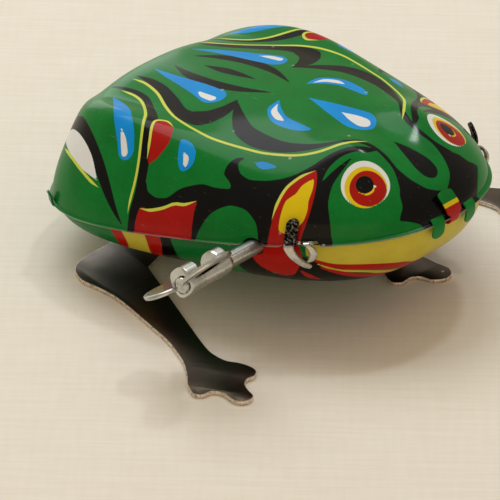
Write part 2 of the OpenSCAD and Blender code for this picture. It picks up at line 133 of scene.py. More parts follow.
def makePrintedInks():
    # the litho print: every ink is a signed distance in millimetres kept on the sheet's points
    inks = [("Black", tone(5, 5, 4)), ("Blue", tone(4, 150, 220)), ("Red", tone(172, 20, 8)),
            ("Yellow", tone(222, 196, 14)), ("White", tone(226, 228, 226))]
    tree, given, out = newGroup(
        "printedInks",
        [("Base", "NodeSocketColor", tone(10, 112, 44)), ("Softness", "NodeSocketFloat", 0.04)]
        + [(name, "NodeSocketColor", colour) for name, colour in inks]
        + [("Line", "NodeSocketColor", tone(206, 214, 92))],
        [("Color", "NodeSocketColor"), ("Dark", "NodeSocketFloat"), ("BareAndHighlight", "NodeSocketFloat")])
    half = given["Softness"]
    start = maths(tree, "MULTIPLY", half, -1.0)
    colour = given["Base"]
    dark = None
    for name, _ in inks:
        mask = remap(tree, attribute(tree, "ink" + name), start, half)
        colour = mixColour(tree, mask, colour, given[name])
        dark = dark or mask
    for group in "AB":
        taper = maths(tree, "MULTIPLY", attribute(tree, "line%sSpan" % group), 0.27)
        side = maths(tree, "ABSOLUTE", attribute(tree, "line%sSide" % group))
        mask = remap(tree, maths(tree, "SUBTRACT", taper, side), start, half)
        colour = mixColour(tree, mask, colour, given["Line"])
    tree.links.new(colour, out.inputs["Color"])
    tree.links.new(dark, out.inputs["Dark"])
    bare = attribute(tree, "bareTin")
    tree.links.new(bare, out.inputs["BareAndHighlight"])
    return tree


handling = makeHandling()
printedInks = makePrintedInks()


# finishes

def newFinish(name):
    finish = bpy.data.materials.new(name)
    finish.use_nodes = True
    tree = finish.node_tree
    tree.nodes.clear()
    shader = addNode(tree, "ShaderNodeBsdfPrincipled")
    output = addNode(tree, "ShaderNodeOutputMaterial")
    tree.links.new(shader.outputs[0], output.inputs["Surface"])
    return finish, tree, shader


def litho(name, base, dent, swaps=None):
    # varnished printing on tinplate; plain tin shows at the cut edges and inside, and as a painted highlight
    # along the upper tin's outer lip
    finish, tree, shader = newFinish(name)
    marks = placeGroup(tree, handling, {"Scale": 1.0, "Scratches": 0.5, "Dust": 0.75})
    inks = placeGroup(tree, printedInks, {"Base": base, **(swaps or {})})
    printed = mixColour(tree, 0.16, inks["Color"], marks["Cloud"], "SOFT_LIGHT")
    printed = mixColour(tree, maths(tree, "MULTIPLY", marks["Grain"], 0.4), printed, inks["Color"], "OVERLAY")
    faded = maths(tree, "MULTIPLY", marks["Scratch"], 0.14)
    printed = mixColour(tree, faded, printed, tone(200, 196, 182))
    printed = mixColour(tree, maths(tree, "MULTIPLY", marks["Speck"], 0.55), printed, tone(226, 220, 205))
    tin = mixColour(tree, marks["Cloud"], tone(150, 146, 136), tone(204, 202, 194))
    tree.links.new(mixColour(tree, inks["BareAndHighlight"], printed, tin), shader.inputs["Base Color"])
    tree.links.new(maths(tree, "MULTIPLY", inks["BareAndHighlight"], 0.9), shader.inputs["Metallic"])
    rough = remap(tree, marks["Cloud"], 0.0, 1.0, 0.36, 0.48)
    tree.links.new(maths(tree, "ADD", rough, maths(tree, "MULTIPLY", marks["Scratch"], 0.2)),
                   shader.inputs["Roughness"])
    coat = maths(tree, "SUBTRACT", 0.22, maths(tree, "MULTIPLY", inks["BareAndHighlight"], 0.22))
    tree.links.new(coat, shader.inputs["Coat Weight"])
    shader.inputs["Coat Roughness"].default_value = 0.13
    shader.inputs["Coat IOR"].default_value = 1.5
    shader.inputs["Specular IOR Level"].default_value = 0.06
    place = addNode(tree, "ShaderNodeTexCoord").outputs["Object"]
    wave = addNode(tree, "ShaderNodeTexNoise", {}, {"Vector": place, "Scale": dent, "Detail": 1.5})
    height = maths(tree, "ADD", maths(tree, "MULTIPLY", wave.outputs[0], 0.35),
                   maths(tree, "MULTIPLY", marks["Grain"], 0.004))
    height = maths(tree, "SUBTRACT", height, maths(tree, "MULTIPLY", marks["Scratch"], 0.012))
    height = maths(tree, "ADD", height, maths(tree, "MULTIPLY", marks["Speck"], 0.02))
    bump = addNode(tree, "ShaderNodeBump", {}, {"Strength": 0.5, "Distance": 0.0009, "Height": height})
    tree.links.new(bump.outputs[0], shader.inputs["Normal"])
    return finish


def metal(name, dull, bright, rough, scratches=0.6, dust=0.2, scale=1.0, edge=None, metallic=1.0):
    # plain worked metal with handling marks; edge is the colour of the sheared rim, if it shows one
    finish, tree, shader = newFinish(name)
    marks = placeGroup(tree, handling, {"Scale": scale, "Scratches": scratches, "Dust": dust})
    colour = mixColour(tree, marks["Cloud"], dull, bright)
    colour = mixColour(tree, maths(tree, "MULTIPLY", marks["Grain"], 0.25), colour, dull)
    colour = mixColour(tree, maths(tree, "MULTIPLY", marks["Speck"], 0.8), colour, tone(190, 184, 170))
    low, high = rough
    roughness = maths(tree, "ADD", remap(tree, marks["Cloud"], 0.0, 1.0, high, low),
                      maths(tree, "MULTIPLY", marks["Scratch"], 0.15))
    metalness = maths(tree, "SUBTRACT", metallic, maths(tree, "MULTIPLY", marks["Speck"], 0.8))
    if edge:
        rim = attribute(tree, "secondTone")
        worn = remap(tree, marks["Grain"], 0.2, 0.5)
        colour = mixColour(tree, rim, colour, mixColour(tree, worn, dull, edge))
        roughness = maths(tree, "ADD", roughness, maths(tree, "MULTIPLY", rim, 0.12))
    tree.links.new(colour, shader.inputs["Base Color"])
    tree.links.new(roughness, shader.inputs["Roughness"])
    tree.links.new(metalness, shader.inputs["Metallic"])
    height = maths(tree, "SUBTRACT", maths(tree, "MULTIPLY", marks["Grain"], 0.3), marks["Scratch"])
    bump = addNode(tree, "ShaderNodeBump", {}, {"Strength": 0.25, "Distance": 0.00004, "Height": height})
    tree.links.new(bump.outputs[0], shader.inputs["Normal"])
    return finish


finishes = {
    "upperPrint": litho("upperPrint", tone(2, 124, 46), 55.0),
    "lowerPrint": litho("lowerPrint", tone(14, 116, 52), 50.0, {"Yellow": tone(194, 182, 66)}),
    "bluedSteel": metal("bluedSteel", tone(66, 60, 52), tone(96, 84, 70), (0.26, 0.4), 0.7, 0.9, 1.0,
                        tone(232, 218, 200)),
    "nickel": metal("nickel", tone(168, 170, 166), tone(222, 222, 216), (0.2, 0.36), 0.8, 0.3, 1.4,
                    tone(240, 236, 226)),
    "clawTin": metal("clawTin", tone(158, 158, 154), tone(218, 216, 208), (0.2, 0.36), 0.8, 0.2, 1.3,
                     tone(12, 12, 13)),
    "tinplate": metal("tinplate", tone(150, 150, 146), tone(214, 212, 204), (0.24, 0.42), 0.8, 0.2, 1.3,
                      tone(238, 232, 220)),
    "brightSteel": metal("brightSteel", tone(140, 140, 138), tone(190, 190, 186), (0.25, 0.4)),
    "springSteel": metal("springSteel", tone(70, 76, 90), tone(112, 120, 136), (0.28, 0.4)),
    "brass": metal("brass", tone(168, 128, 60), tone(214, 178, 98), (0.26, 0.42)),
}
print("finishes ready")


# body surface, in millimetres as the frame's own tin is drawn

body = {
    "halfLength": 38.0, "halfWidth": 31.3, "seamZ": 16.0, "seamRise": 6.0, "backHeight": 16.8,
    "bellyDepth": 12.0, "haunch": 5.0, "brow": 1.9, "tin": 0.4, "nestGap": 0.12, "tuck": 0.8,
    "columns": 640, "upperRings": 116, "lowerRings": 84, "liningRings": 14,
}


def seamAt(x):
    return body["seamZ"] + body["seamRise"] * x / body["halfLength"]


def halfWidthAt(s):
    full = np.maximum(0, 1 - np.abs(s) ** 2.3) ** (1 / 2.3)
    return body["halfWidth"] * full * (1 - 0.27 * s + 0.11 * s * s)


def backLine(s):
    tail = s < -0.6
    t = np.where(tail, (-0.6 - s) / 0.4, (s + 0.6) / 1.6)
    power = np.where(tail, 4.0, 2.35)
    return body["backHeight"] * np.maximum(0, 1 - np.abs(t) ** power) ** 0.6


def swell(s, v):
    v = np.abs(v)
    haunches = body["haunch"] * np.exp(-((s + 0.52) / 0.51) ** 2 - ((v - 0.72) / 0.15) ** 2)
    brows = body["brow"] * np.exp(-((s - 0.59) / 0.18) ** 2 - ((v - 0.35) / 0.22) ** 2)
    return (1 - v ** 4) * (1 - np.abs(s) ** 6) * (haunches + brows)


def backRise(s, v):
    return backLine(s) * np.maximum(0, 1 - np.abs(v) ** 2.5) ** 0.6 + swell(s, v)


def bellyDrop(s, v):
    along = np.sqrt(np.maximum(0, 1 - s ** 4))
    across = np.sqrt(np.maximum(0, 1 - np.abs(v) ** 3))
    return -body["bellyDepth"] * along * across * (1 + 0.28 * s)


def rimPoint(angle):
    # (s, y) of the seam outline seen from above; angle 0 is the nose
    c = np.cos(angle)
    s = np.sign(c) * np.abs(c) ** 0.8
    return s, np.sign(np.sin(angle)) * halfWidthAt(s)


def surfacePoint(angle, depth, rise, inset=0.0):
    # depth runs from 0 at the seam to 1 at the middle of the back or belly
    rimS, rimY = rimPoint(angle)
    k = np.cos(np.pi / 2 * depth)
    s, y = rimS * k, rimY * k
    width = np.maximum(halfWidthAt(s), 1e-9)
    v = np.clip(y / width, -1, 1)
    x = s * body["halfLength"]
    z = rise(s, v)
    shrinkX = 1 - inset / body["halfLength"]
    shrinkY = 1 - inset / body["halfWidth"]
    return np.stack([x * shrinkX, y * shrinkY, seamAt(x * shrinkX) + z * (1 - inset / 25)], -1)


# curves and print shapes

def smoothCurve(points, closed=False, perSpan=8, pull=0.42):
    # a soft curve through a few points
    p = np.asarray(points, float)
    count = len(p)
    if closed:
        before, after = np.roll(p, 1, 0), np.roll(p, -1, 0)
        spans = count
    else:
        before = np.vstack([p[:1], p[:-1]])
        after = np.vstack([p[1:], p[-1:]])
        spans = count - 1
    slope = (after - before) * pull
    made = []
    for i in range(spans):
        j = (i + 1) % count
        t = np.linspace(0, 1, perSpan, endpoint=False)[:, None]
        made.append((2 * t**3 - 3 * t**2 + 1) * p[i] + (t**3 - 2 * t**2 + t) * slope[i]
                    + (3 * t**2 - 2 * t**3) * p[j] + (t**3 - t**2) * slope[j])
    if not closed:
        made.append(p[-1:])
    return np.vstack(made)


def segmentSpread(places, line):
    # for every place: the distance to each piece of the line, where along it, and on which side
    start, step = line[:-1], np.diff(line, axis=0)
    length = np.maximum((step**2).sum(1), 1e-12)
    off = places[:, None, :] - start
    along = np.clip((off * step).sum(-1) / length, 0, 1)
    gap = off - along[..., None] * step
    side = np.sign(step[:, 0] * off[..., 1] - step[:, 1] * off[..., 0])
    return np.sqrt((gap**2).sum(-1)), along, side


def strokeField(places, points, halfWidths):
    line = smoothCurve(np.column_stack([points, halfWidths]))
    distance, along, _ = segmentSpread(places, line[:, :2])
    width = line[:-1, 2] + along * np.diff(line[:, 2])
    return (width - distance).max(1)


def patchField(places, points, soft=True):
    line = smoothCurve(points, True, 6, 0.36) if soft else np.asarray(points, float)
    line = np.vstack([line, line[:1]])
    distance, _, _ = segmentSpread(places, line)
    x, y = places[:, 0, None], places[:, 1, None]
    x0, y0, x1, y1 = line[:-1, 0], line[:-1, 1], line[1:, 0], line[1:, 1]
    crosses = (y0 > y) != (y1 > y)
    reach = x0 + (y - y0) * (x1 - x0) / np.where(y1 == y0, 1e-9, y1 - y0)
    inside = (crosses & (x < reach)).sum(1) % 2 == 1
    return np.where(inside, 1, -1) * distance.min(1)


inkOrder = ["Green", "Black", "Blue", "Red", "Yellow", "White"]


def startInks(count):
    inks = {"ink" + name: np.full(count, -2.0) for name in inkOrder[1:]}
    for group in "AB":
        inks["line%sSide" % group] = np.full(count, 2.0)
        inks["line%sSpan" % group] = np.full(count, -1.0)
    return inks


def nearby(places, points, margin):
    p = np.asarray(points, float)
    low, high = p.min(0) - margin, p.max(0) + margin
    return np.nonzero(((places > low) & (places < high)).all(1))[0]


def layInk(inks, rows, colour, field):
    # later shapes cover earlier ones
    level = inkOrder.index(colour)
    for name in inkOrder[max(1, level + 1):]:
        kept = inks["ink" + name]
        kept[rows] = np.minimum(kept[rows], -field)
    if level:
        own = inks["ink" + colour]
        own[rows] = np.maximum(own[rows], np.maximum(field, -2))


def printShapes(places, shapes):
    inks = startInks(len(places))
    for shape in shapes:
        kind, colour, points = shape[:3]
        if kind == "line":
            layLine(inks, places, colour, points)
            continue
        margin = 2.2 + (max(shape[3]) if kind == "stroke" else 0)
        rows = nearby(places, points, margin)
        if not len(rows):
            continue
        if kind == "stroke":
            field = strokeField(places[rows], points, shape[3])
        else:
            field = patchField(places[rows], points, kind == "patch")
        layInk(inks, rows, colour, field)
    return inks


def layLine(inks, places, group, points):
    # a hairline is kept as its side and its span, so that it stays even between points
    line = smoothCurve(points)
    rows = nearby(places, points, 2.0)
    distance, along, side = segmentSpread(places[rows], line)
    best = distance.argmin(1)
    pick = np.arange(len(rows))
    lengths = np.linalg.norm(np.diff(line, axis=0), axis=1)
    travelled = np.concatenate([[0], np.cumsum(lengths)])
    at = travelled[best] + along[pick, best] * lengths[best]
    fromEnd = np.minimum(at, travelled[-1] - at)
    span = np.where(fromEnd < 1e-6, -distance[pick, best], np.minimum(fromEnd / 2.5, 1))
    span = np.minimum(span, 1.4 - distance[pick, best])
    signed = side[pick, best] * np.minimum(distance[pick, best], 2)
    better = span > inks["line%sSpan" % group][rows]
    chosen = rows[better]
    inks["line%sSide" % group][chosen] = signed[better]
    inks["line%sSpan" % group][chosen] = np.maximum(span[better], -1)


# meshes

def pieceFrom(name, points, faces, finish, layers=None, bevel=None, sharp=40):
    mesh = bpy.data.meshes.new(name)
    mesh.from_pydata((np.asarray(points, float) * millimetre).tolist(), [], [list(f) for f in faces])
    for label, values in (layers or {}).items():
        layer = mesh.attributes.new(label, "FLOAT", "POINT")
        layer.data.foreach_set("value", np.asarray(values, np.float32))
    work = bmesh.new()
    work.from_mesh(mesh)
    bmesh.ops.recalc_face_normals(work, faces=work.faces)
    work.to_mesh(mesh)
    work.free()
    piece = bpy.data.objects.new(name, mesh)
    bpy.context.scene.collection.objects.link(piece)
    mesh.materials.append(finish)
    if bevel:
        rounded = piece.modifiers.new("edges", "BEVEL")
        rounded.width = bevel * millimetre
        rounded.segments = 2
        rounded.limit_method = "ANGLE"
        rounded.angle_limit = math.radians(50)
        applyModifiers(piece)
    mesh = piece.data
    mesh.shade_smooth()
    mesh.set_sharp_from_angle(angle=math.radians(sharp))
    return piece


def applyModifiers(piece):
    graph = bpy.context.evaluated_depsgraph_get()
    flat = bpy.data.meshes.new_from_object(piece.evaluated_get(graph))
    piece.modifiers.clear()
    piece.data = flat


def settle(piece, bodyName, slotName, *nodes):
    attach(piece, bodyName)
    if nodes:
        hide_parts(*nodes)
    return piece


def gridFaces(rows, columns, offset=0):
    # quads between rings of points that each close on themselves
    i, j = np.meshgrid(np.arange(rows - 1), np.arange(columns), indexing="ij")
    a = offset + i * columns + j
    b = offset + i * columns + (j + 1) % columns
    return np.stack([a, b, b + columns, a + columns], -1).reshape(-1, 4)


def capFaces(ring, columns, tip):
    j = np.arange(columns)
    return [(ring + a, ring + b, tip) for a, b in zip(j, (j + 1) % columns)]


keyPlace = {"x": 16.0, "z": 17.6, "hole": 1.9, "notch": 1.75}
claw = {"x": 23.6, "width": 5.6, "thick": 0.6}


def seamFrame(x, side):
    # point on the seam outline, unit vectors along it, outwards and up the side
    s = x / body["halfLength"]
    step = 0.004
    slope = (halfWidthAt(s + step) - halfWidthAt(s - step)) / (2 * step * body["halfLength"])
    point = np.array([x, side * halfWidthAt(s), seamAt(x)])
    tilt = body["seamRise"] / body["halfLength"]
    along = np.array([1, side * slope, tilt])
    along /= np.linalg.norm(along)
    outward = np.array([-slope, side, 0.0])
    outward /= np.linalg.norm(outward)
    up = np.array([0, 0, 1.0])
    up -= along * along[2]
    up /= np.linalg.norm(up)
    return point, along, outward, up


def notchDepths(angles, rise, lift):
    # how far each column starts from the seam, to leave room for the key shaft and the claws
    fine = np.linspace(0, 0.5, 400)
    startDepth = np.zeros(len(angles))
    rimS, rimY = rimPoint(angles)
    rimX = rimS * body["halfLength"]
    room = keyPlace["notch"] if lift > 0 else keyPlace["hole"]
    for index, angle in enumerate(angles):
        limit = 0.0
        fromKey = rimX[index] - keyPlace["x"]
        if abs(fromKey) < room and rimY[index] < 0:
            arch = math.sqrt(room**2 - fromKey**2)
            limit = max(limit, lift * (keyPlace["z"] + lift * arch - seamAt(rimX[index])))
        if abs(rimX[index] - claw["x"]) < claw["width"] / 2 * 0.9:
            limit = max(limit, claw["thick"] / 2 + 0.12)
        if limit > 0:
            column = surfacePoint(np.full(len(fine), angle), fine, rise)
            off = lift * (column[:, 2] - seamAt(column[:, 0]))
            startDepth[index] = fine[min(np.argmax(off > limit), len(fine) - 1)]
    return startDepth


def upperTin():
    columns, rings = body["columns"], body["upperRings"]
    angles = 2 * np.pi * np.arange(columns) / columns
    start = notchDepths(angles, backRise, 1)
    share = np.arange(rings)[:, None] / rings
    outer = surfacePoint(angles, start + (1 - start) * share, backRise)
    apex = surfacePoint(np.zeros(1), np.ones(1), backRise)
    lining = body["liningRings"]
    inShare = np.arange(lining)[:, None] / lining
    inner = surfacePoint(angles, start + (1 - start) * inShare, backRise, body["tin"])
    innerApex = surfacePoint(np.zeros(1), np.ones(1), backRise, body["tin"])
    # a small rolled lip under the seam, open where something passes
    rimS, rimY = rimPoint(angles)
    rim = np.stack([rimS * body["halfLength"], rimY, np.zeros(columns)], -1)
    tangent = np.roll(rim, -1, 0) - np.roll(rim, 1, 0)
    outward = np.stack([tangent[:, 1], -tangent[:, 0], np.zeros(columns)], -1)
    outward /= np.linalg.norm(outward, axis=1)[:, None]
    whole = np.where(start > 0, 0.0, 1.0)
    for _ in range(3):
        whole = np.minimum(whole, (np.roll(whole, 1) + whole + np.roll(whole, -1)) / 3)
    lip = [(0.03, -0.06), (0.22, -0.12), (0.42, -0.18), (0.5, -0.28), (0.42, -0.4), (0.1, -0.4),
           (-0.14, -0.3)]
    rows = []
    flare = whole * (1 + 0.5 * np.clip(np.cos(angles), 0, 1))
    for out, down in reversed(lip):
        rows.append(outer[0] + outward * out * flare[:, None] + [0, 0, 1] * (flare * down)[:, None])
    lipRows = np.array(rows)
    grid = np.concatenate([lipRows, outer]).reshape(-1, 3)
    count = len(lip) + rings
    points = np.vstack([grid, apex, inner.reshape(-1, 3), innerApex])
    tip = len(grid)
    first = tip + 1
    faces = gridFaces(count, columns).tolist()
    faces += capFaces((count - 1) * columns, columns, tip)
    faces += gridFaces(lining, columns, first).tolist()
    faces += capFaces(first + (lining - 1) * columns, columns, first + lining * columns)
    j = np.arange(columns)
    k = (j + 1) % columns
    faces += np.stack([j, k, first + k, first + j], -1).tolist()
    # flat print coordinates: distance from the top along each meridian, at the bearing of its rim point
    chain = np.concatenate([outer, np.broadcast_to(apex, (1, columns, 3))])
    reach = np.linalg.norm(np.diff(chain, axis=0), axis=-1)
    reach = np.flip(np.cumsum(np.flip(reach, 0), 0), 0)
    bearing = np.arctan2(rimY, rimS * body["halfLength"])
    askew = 0.15 * np.maximum(reach * np.sin(bearing), 0)
    flat = np.stack([reach * np.cos(bearing) + askew, -np.abs(reach * np.sin(bearing))], -1)
    fields = printShapes(np.vstack([flat.reshape(-1, 2), [[0, 0]]]), backPrintAndHighlight)
    layers = {}
    for label, values in fields.items():
        spread = np.full(len(points), -2.0)
        spread[len(lip) * columns:tip + 1] = values
        spread[:len(lip) * columns] = np.tile(values[:columns], len(lip))
        layers[label] = spread
    bare = np.zeros(len(points))
    bare[tip + 1:] = 1
    bare[:3 * columns] = 1
    # painted highlight: the outermost row of the lip is paled most of the way to tin, as a bright line along
    # the rim
    bare[3 * columns:4 * columns] = 0.7
    layers["bareTin"] = bare
    piece = pieceFrom("upperTin", points, faces, finishes["upperPrint"], layers)
    return settle(piece, "body", "printed_tin_green", "upper_shell")


def lowerTin():
    columns, rings = body["columns"], body["lowerRings"]
    angles = 2 * np.pi * np.arange(columns) / columns
    inset = body["tin"] + body["nestGap"]
    start = notchDepths(angles, bellyDrop, -1)
    share = np.arange(rings)[:, None] / rings
    outer = surfacePoint(angles, start + (1 - start) * share, bellyDrop, inset)
    apex = surfacePoint(np.zeros(1), np.ones(1), bellyDrop, inset)
    lining = body["liningRings"]
    inShare = np.arange(lining)[:, None] / lining
    inner = surfacePoint(angles, start + (1 - start) * inShare, bellyDrop, inset + body["tin"])
    innerApex = surfacePoint(np.zeros(1), np.ones(1), bellyDrop, inset + body["tin"])
    tucked = np.where(start > 0, 0.0, body["tuck"])[:, None]
    rimRows = [outer[0] + [0, 0, 1] * tucked * 0.97, outer[0] + [0, 0, 1] * tucked * 0.5]
    insideRim = inner[0] + [0, 0, 1] * tucked
    grid = np.concatenate([np.array(rimRows), outer]).reshape(-1, 3)
    count = len(rimRows) + rings
    tip = len(grid)
    first = tip + 1
    points = np.vstack([grid, apex, insideRim, inner.reshape(-1, 3), innerApex])
    faces = gridFaces(count, columns).tolist()
    faces += capFaces((count - 1) * columns, columns, tip)
    faces += gridFaces(lining + 1, columns, first).tolist()
    faces += capFaces(first + lining * columns, columns, first + (lining + 1) * columns)
    j = np.arange(columns)
    k = (j + 1) % columns
    faces += np.stack([j, k, first + k, first + j], -1).tolist()
    # flat print coordinates: along the seam from the nose, and down the side from the seam
    rim = surfacePoint(angles, np.zeros(columns), bellyDrop, inset)
    step = np.linalg.norm(np.roll(rim, -1, 0) - rim, axis=1)
    along = np.concatenate([[0], np.cumsum(step)[:-1]])
    along = np.minimum(along, step.sum() - along)
    chain = np.concatenate([outer, np.broadcast_to(apex, (1, columns, 3))])
    reach = np.linalg.norm(np.diff(chain, axis=0), axis=-1)
    fromSeam = np.linalg.norm(outer[0] - rim, axis=1)
    down = np.concatenate([np.zeros((1, columns)), np.cumsum(reach, axis=0)]) + fromSeam
    flat = np.stack([np.broadcast_to(-along, down.shape), down], -1)[:rings].reshape(-1, 2)
    rimFlat = [np.stack([-along, -tucked[:, 0] * part], -1) for part in (1.0, 0.5)]
    fields = printShapes(np.vstack(rimFlat + [flat, [[-60, 40]]]), bellyPrintAndShade)
    layers = {}
    for label, values in fields.items():
        spread = np.full(len(points), -2.0)
        spread[:tip + 1] = values
        layers[label] = spread
    bare = np.zeros(len(points))
    bare[tip + 1:] = 1
    layers["bareTin"] = bare
    piece = pieceFrom("lowerTin", points, faces, finishes["lowerPrint"], layers)
    return settle(piece, "body", "printed_tin_yellow", "lower_shell")


# print shapes and a painted highlight on the unrolled back, right half (x forward from the top, y negative
# outwards)
backPrintAndHighlight = [
    # middle line
    ("stroke", "Black", [(-19.5, 0), (-15, 0), (-11, 0), (-7, 0)], [0, 0.95, 0.8, 0]),
    ("stroke", "Blue", [(5, 0), (11, 0), (16.5, 0)], [0, 1.8, 3.2]),
    ("stroke", "White", [(12.5, 0), (15.5, 0), (17.3, 0)], [0, 1.1, 1.45]),
    ("stroke", "Black", [(23, 0.5), (27, 0.2), (31, 0), (32.5, 0)], [0, 1.1, 1.9, 1.9]),
    # feathers beside the middle
    ("stroke", "Black", [(-24.5, -2.3), (-19, -4.4), (-13, -5.4), (-6.5, -4.6), (-0.5, -2.2)],
     [0, 0.9, 1.3, 0.9, 0]),
    ("stroke", "Blue", [(-27, -5), (-22, -6.3), (-18, -7.1), (-13, -8), (-9.2, -8.9)],
     [0, 0.7, 1.2, 1.9, 2.4]),
    ("stroke", "White", [(-13, -8.7), (-10.8, -9.5), (-8.7, -9.7)], [0, 0.65, 0.75]),
    ("stroke", "Black", [(-28.5, -8.3), (-24, -9.2), (-20, -10.7), (-15, -13.4), (-11, -15.8), (-7, -16.4)],
     [0, 0.7, 1.1, 1.3, 1.5, 1.7]),
    ("patch", "Black", [(-9, -14.7), (-6.6, -13.2), (-5.2, -10.8), (-4.3, -7.8), (-2.8, -11), (-2.7, -13),
                        (-3.4, -15.7), (-5, -17.9), (-7.7, -18.1), (-9.6, -17.2)]),
    ("stroke", "Blue", [(1.7, -3.8), (3.2, -6.8), (6.2, -8.8), (10, -8.8), (12.2, -8.2)],
     [0, 1.2, 1.4, 1.1, 0.4]),
    ("stroke", "White", [(2.4, -5), (3.6, -7.3), (5.6, -8.5), (7.2, -8.7)], [0, 0.55, 0.6, 0]),
    ("stroke", "Black", [(-4.3, -8), (-1, -11.5), (3, -14.5), (7, -15.3), (11.5, -14.5), (16, -12),
                         (19.3, -9.2), (22.2, -5)], [0, 1, 1.7, 1.9, 1.4, 0.75, 0.35, 0]),
    ("line", "A", [(-28, -9.6), (-24, -10.3), (-19.3, -12.3), (-14.8, -15.2), (-10.4, -17.6), (-6, -18.9),
                   (-1, -19.4), (2.6, -19), (6.5, -18.2), (10.2, -17.2), (15, -14.8), (18.2, -12.1),
                   (20.4, -9), (21.8, -6.7), (22.7, -4.9)]),
    # haunch
    ("stroke", "Black", [(-30, -12.6), (-24, -13.3), (-20, -14.6), (-16, -17.6), (-12.5, -20.8),
                         (-10.3, -25), (-8.8, -29.5), (-7.7, -34), (-7.6, -38), (-8, -42)],
     [0.3, 0.55, 0.6, 0.7, 0.9, 1, 1, 0.95, 1, 1]),
    ("line", "A", [(-27, -13.6), (-23, -14.4), (-20, -15.7), (-17, -18), (-13.9, -21.2), (-11.8, -24.6),
                   (-10.4, -28.6), (-9.4, -33), (-9, -38)]),
    ("stroke", "Blue", [(-26.5, -16.3), (-22.5, -18.8), (-18.5, -22.2), (-15.2, -25.8), (-13.8, -28.2)],
     [0, 0.9, 1.5, 1.9, 1.8]),
    ("stroke", "White", [(-16.6, -25), (-15, -27), (-13.9, -28.8)], [0, 0.6, 0.7]),
    ("patch", "Red", [(-11.4, -21.2), (-9.6, -20.2), (-7.2, -21.3), (-5.9, -24), (-6.6, -27), (-8.1, -28.8),
                      (-9.5, -25)]),
    ("line", "B", [(-8.6, -28.4), (-9.7, -25), (-11.3, -21.4), (-9.8, -20.1), (-7.4, -21)]),
    ("patch", "Blue", [(-4.3, -22.5), (-2.3, -22.2), (-0.5, -23.2), (0.3, -25.3), (-0.3, -27), (-1.4, -27.3),
                       (-2.8, -25.9)]),
    ("stroke", "White", [(-2.8, -24.2), (-1.5, -25), (-1, -26.1)], [0, 0.5, 0.4]),
    # tail side
    ("stroke", "Black", [(-37, -21), (-33, -22.8), (-29, -24.6), (-24.5, -27.8), (-19, -32.2), (-14.5, -36.2),
                         (-10.3, -40)], [0.9, 1.3, 1.5, 1.4, 1.2, 0.9, 0.2]),
    ("stroke", "White", [(-38, -22.6), (-33, -25.6), (-28, -28.7), (-23, -31.8), (-18.5, -34.6)],
     [0, 1.4, 1.9, 1.5, 0]),
    ("line", "B", [(-33.5, -27.9), (-29.5, -30.3), (-25, -32.8), (-20.5, -34.8), (-17.5, -35.6)]),
    # scalloped side, its red patch and green dome
    ("patch", "Black", [(-8.4, -31.6), (-7, -31.8), (-5.9, -33), (-3.7, -33.3), (-1.4, -32.4), (0.4, -30),
                        (3.9, -27.6), (6.6, -27), (9.3, -25.9), (8.6, -25), (6.7, -24.2), (6.2, -22.6),
                        (6.6, -20.8), (7.9, -19.9), (7.7, -21.4), (9.3, -22.7), (11.5, -22.8), (14.2, -21.5),
                        (16.4, -19.7), (17.9, -17.7), (19.1, -14.8), (20, -12.1), (21.8, -9), (23.6, -6.7),
                        (25.2, -5.2), (24.9, -7.2), (23.9, -9.4), (24, -12), (24.5, -15.7), (26.3, -18.8),
                        (30.3, -21.9), (33, -24), (30, -32), (15, -46), (-7, -46), (-8.6, -42)]),
    ("patch", "Red", [(-6.6, -36.4), (-4.1, -35.8), (-1.4, -34.4), (0.6, -32.9), (2.6, -32.3), (4.7, -30.6),
                      (5.1, -32.2), (5.9, -34.9), (6.4, -38), (5, -44), (-6.5, -46)]),
    ("line", "B", [(-6.6, -36.2), (-4.1, -35.7), (-1.4, -34.3), (0.5, -32.8), (2.6, -32.1), (4.8, -30.4)]),
    ("patch", "Green", [(7.4, -44), (7.4, -36), (8.5, -31.2), (11, -28.4), (14.3, -27.5), (17.5, -28.4),
                        (19.8, -30.8), (20.6, -34), (18, -42)]),
    ("stroke", "Green", [(26, -6.6), (23.9, -8.8), (22.7, -11.5), (22.3, -14), (22.6, -16.6)],
     [0, 0.35, 0.6, 0.5, 0]),
    ("stroke", "Blue", [(9.9, -19.7), (11.8, -19.4), (13.9, -18.5)], [0, 0.75, 0.15]),
    # flame
    ("patch", "Red", [(20.2, -15.4), (18.9, -17.6), (18.2, -20.6), (18.7, -23.7), (20, -26.8), (22.5, -31),
                      (27, -28), (25.9, -24.6), (24.9, -22.2), (23.6, -19.6), (21.9, -17)]),
    ("patch", "Yellow", [(21, -16.9), (20.2, -18.8), (20.3, -20.6), (19.7, -22.6), (20.7, -25.2), (22, -27),
                         (23.9, -26.4), (24.7, -23.6), (24, -21.6), (23.1, -20.4), (22.1, -18.2)]),
    ("line", "B", [(20.2, -15.4), (18.9, -17.6), (18.2, -20.6), (18.7, -23.7), (19.7, -26.4)]),
    # brow and nose
    ("patch", "Black", [(20.5, -8.7), (21.2, -6.4), (23.6, -4.9), (26.6, -4.7), (29.8, -5.2), (32.9, -4.7),
                        (35.6, -3.2), (37.4, 0), (37.6, 3), (45, 3), (43, -6), (40.2, -8.6), (38.8, -10.3),
                        (37.6, -11.7), (36.1, -9.9), (34.3, -8.9), (32.9, -7.7), (29.5, -6), (25, -5.6),
                        (22, -7)]),
    # eye
    ("stroke", "White", [(28.85, -12.05), (28.9, -12.05)], [4.3, 4.3]),
    ("stroke", "Yellow", [(29.3, -12.4), (29.35, -12.4)], [3.75, 3.75]),
    ("stroke", "Red", [(29.7, -12.3), (29.75, -12.3)], [3.25, 3.25]),
    ("stroke", "Yellow", [(30, -10.9), (30.6, -12), (30.3, -13.2), (29, -14)], [0.05, 0.27, 0.27, 0.05]),
    ("stroke", "Black", [(28.85, -12.2), (28.9, -12.2)], [1.6, 1.6]),
    # painted highlight: the small white dot beside the pupil is a glint
    ("stroke", "White", [(30.2, -11.2), (30.4, -11.1)], [0.2, 0.2]),
]
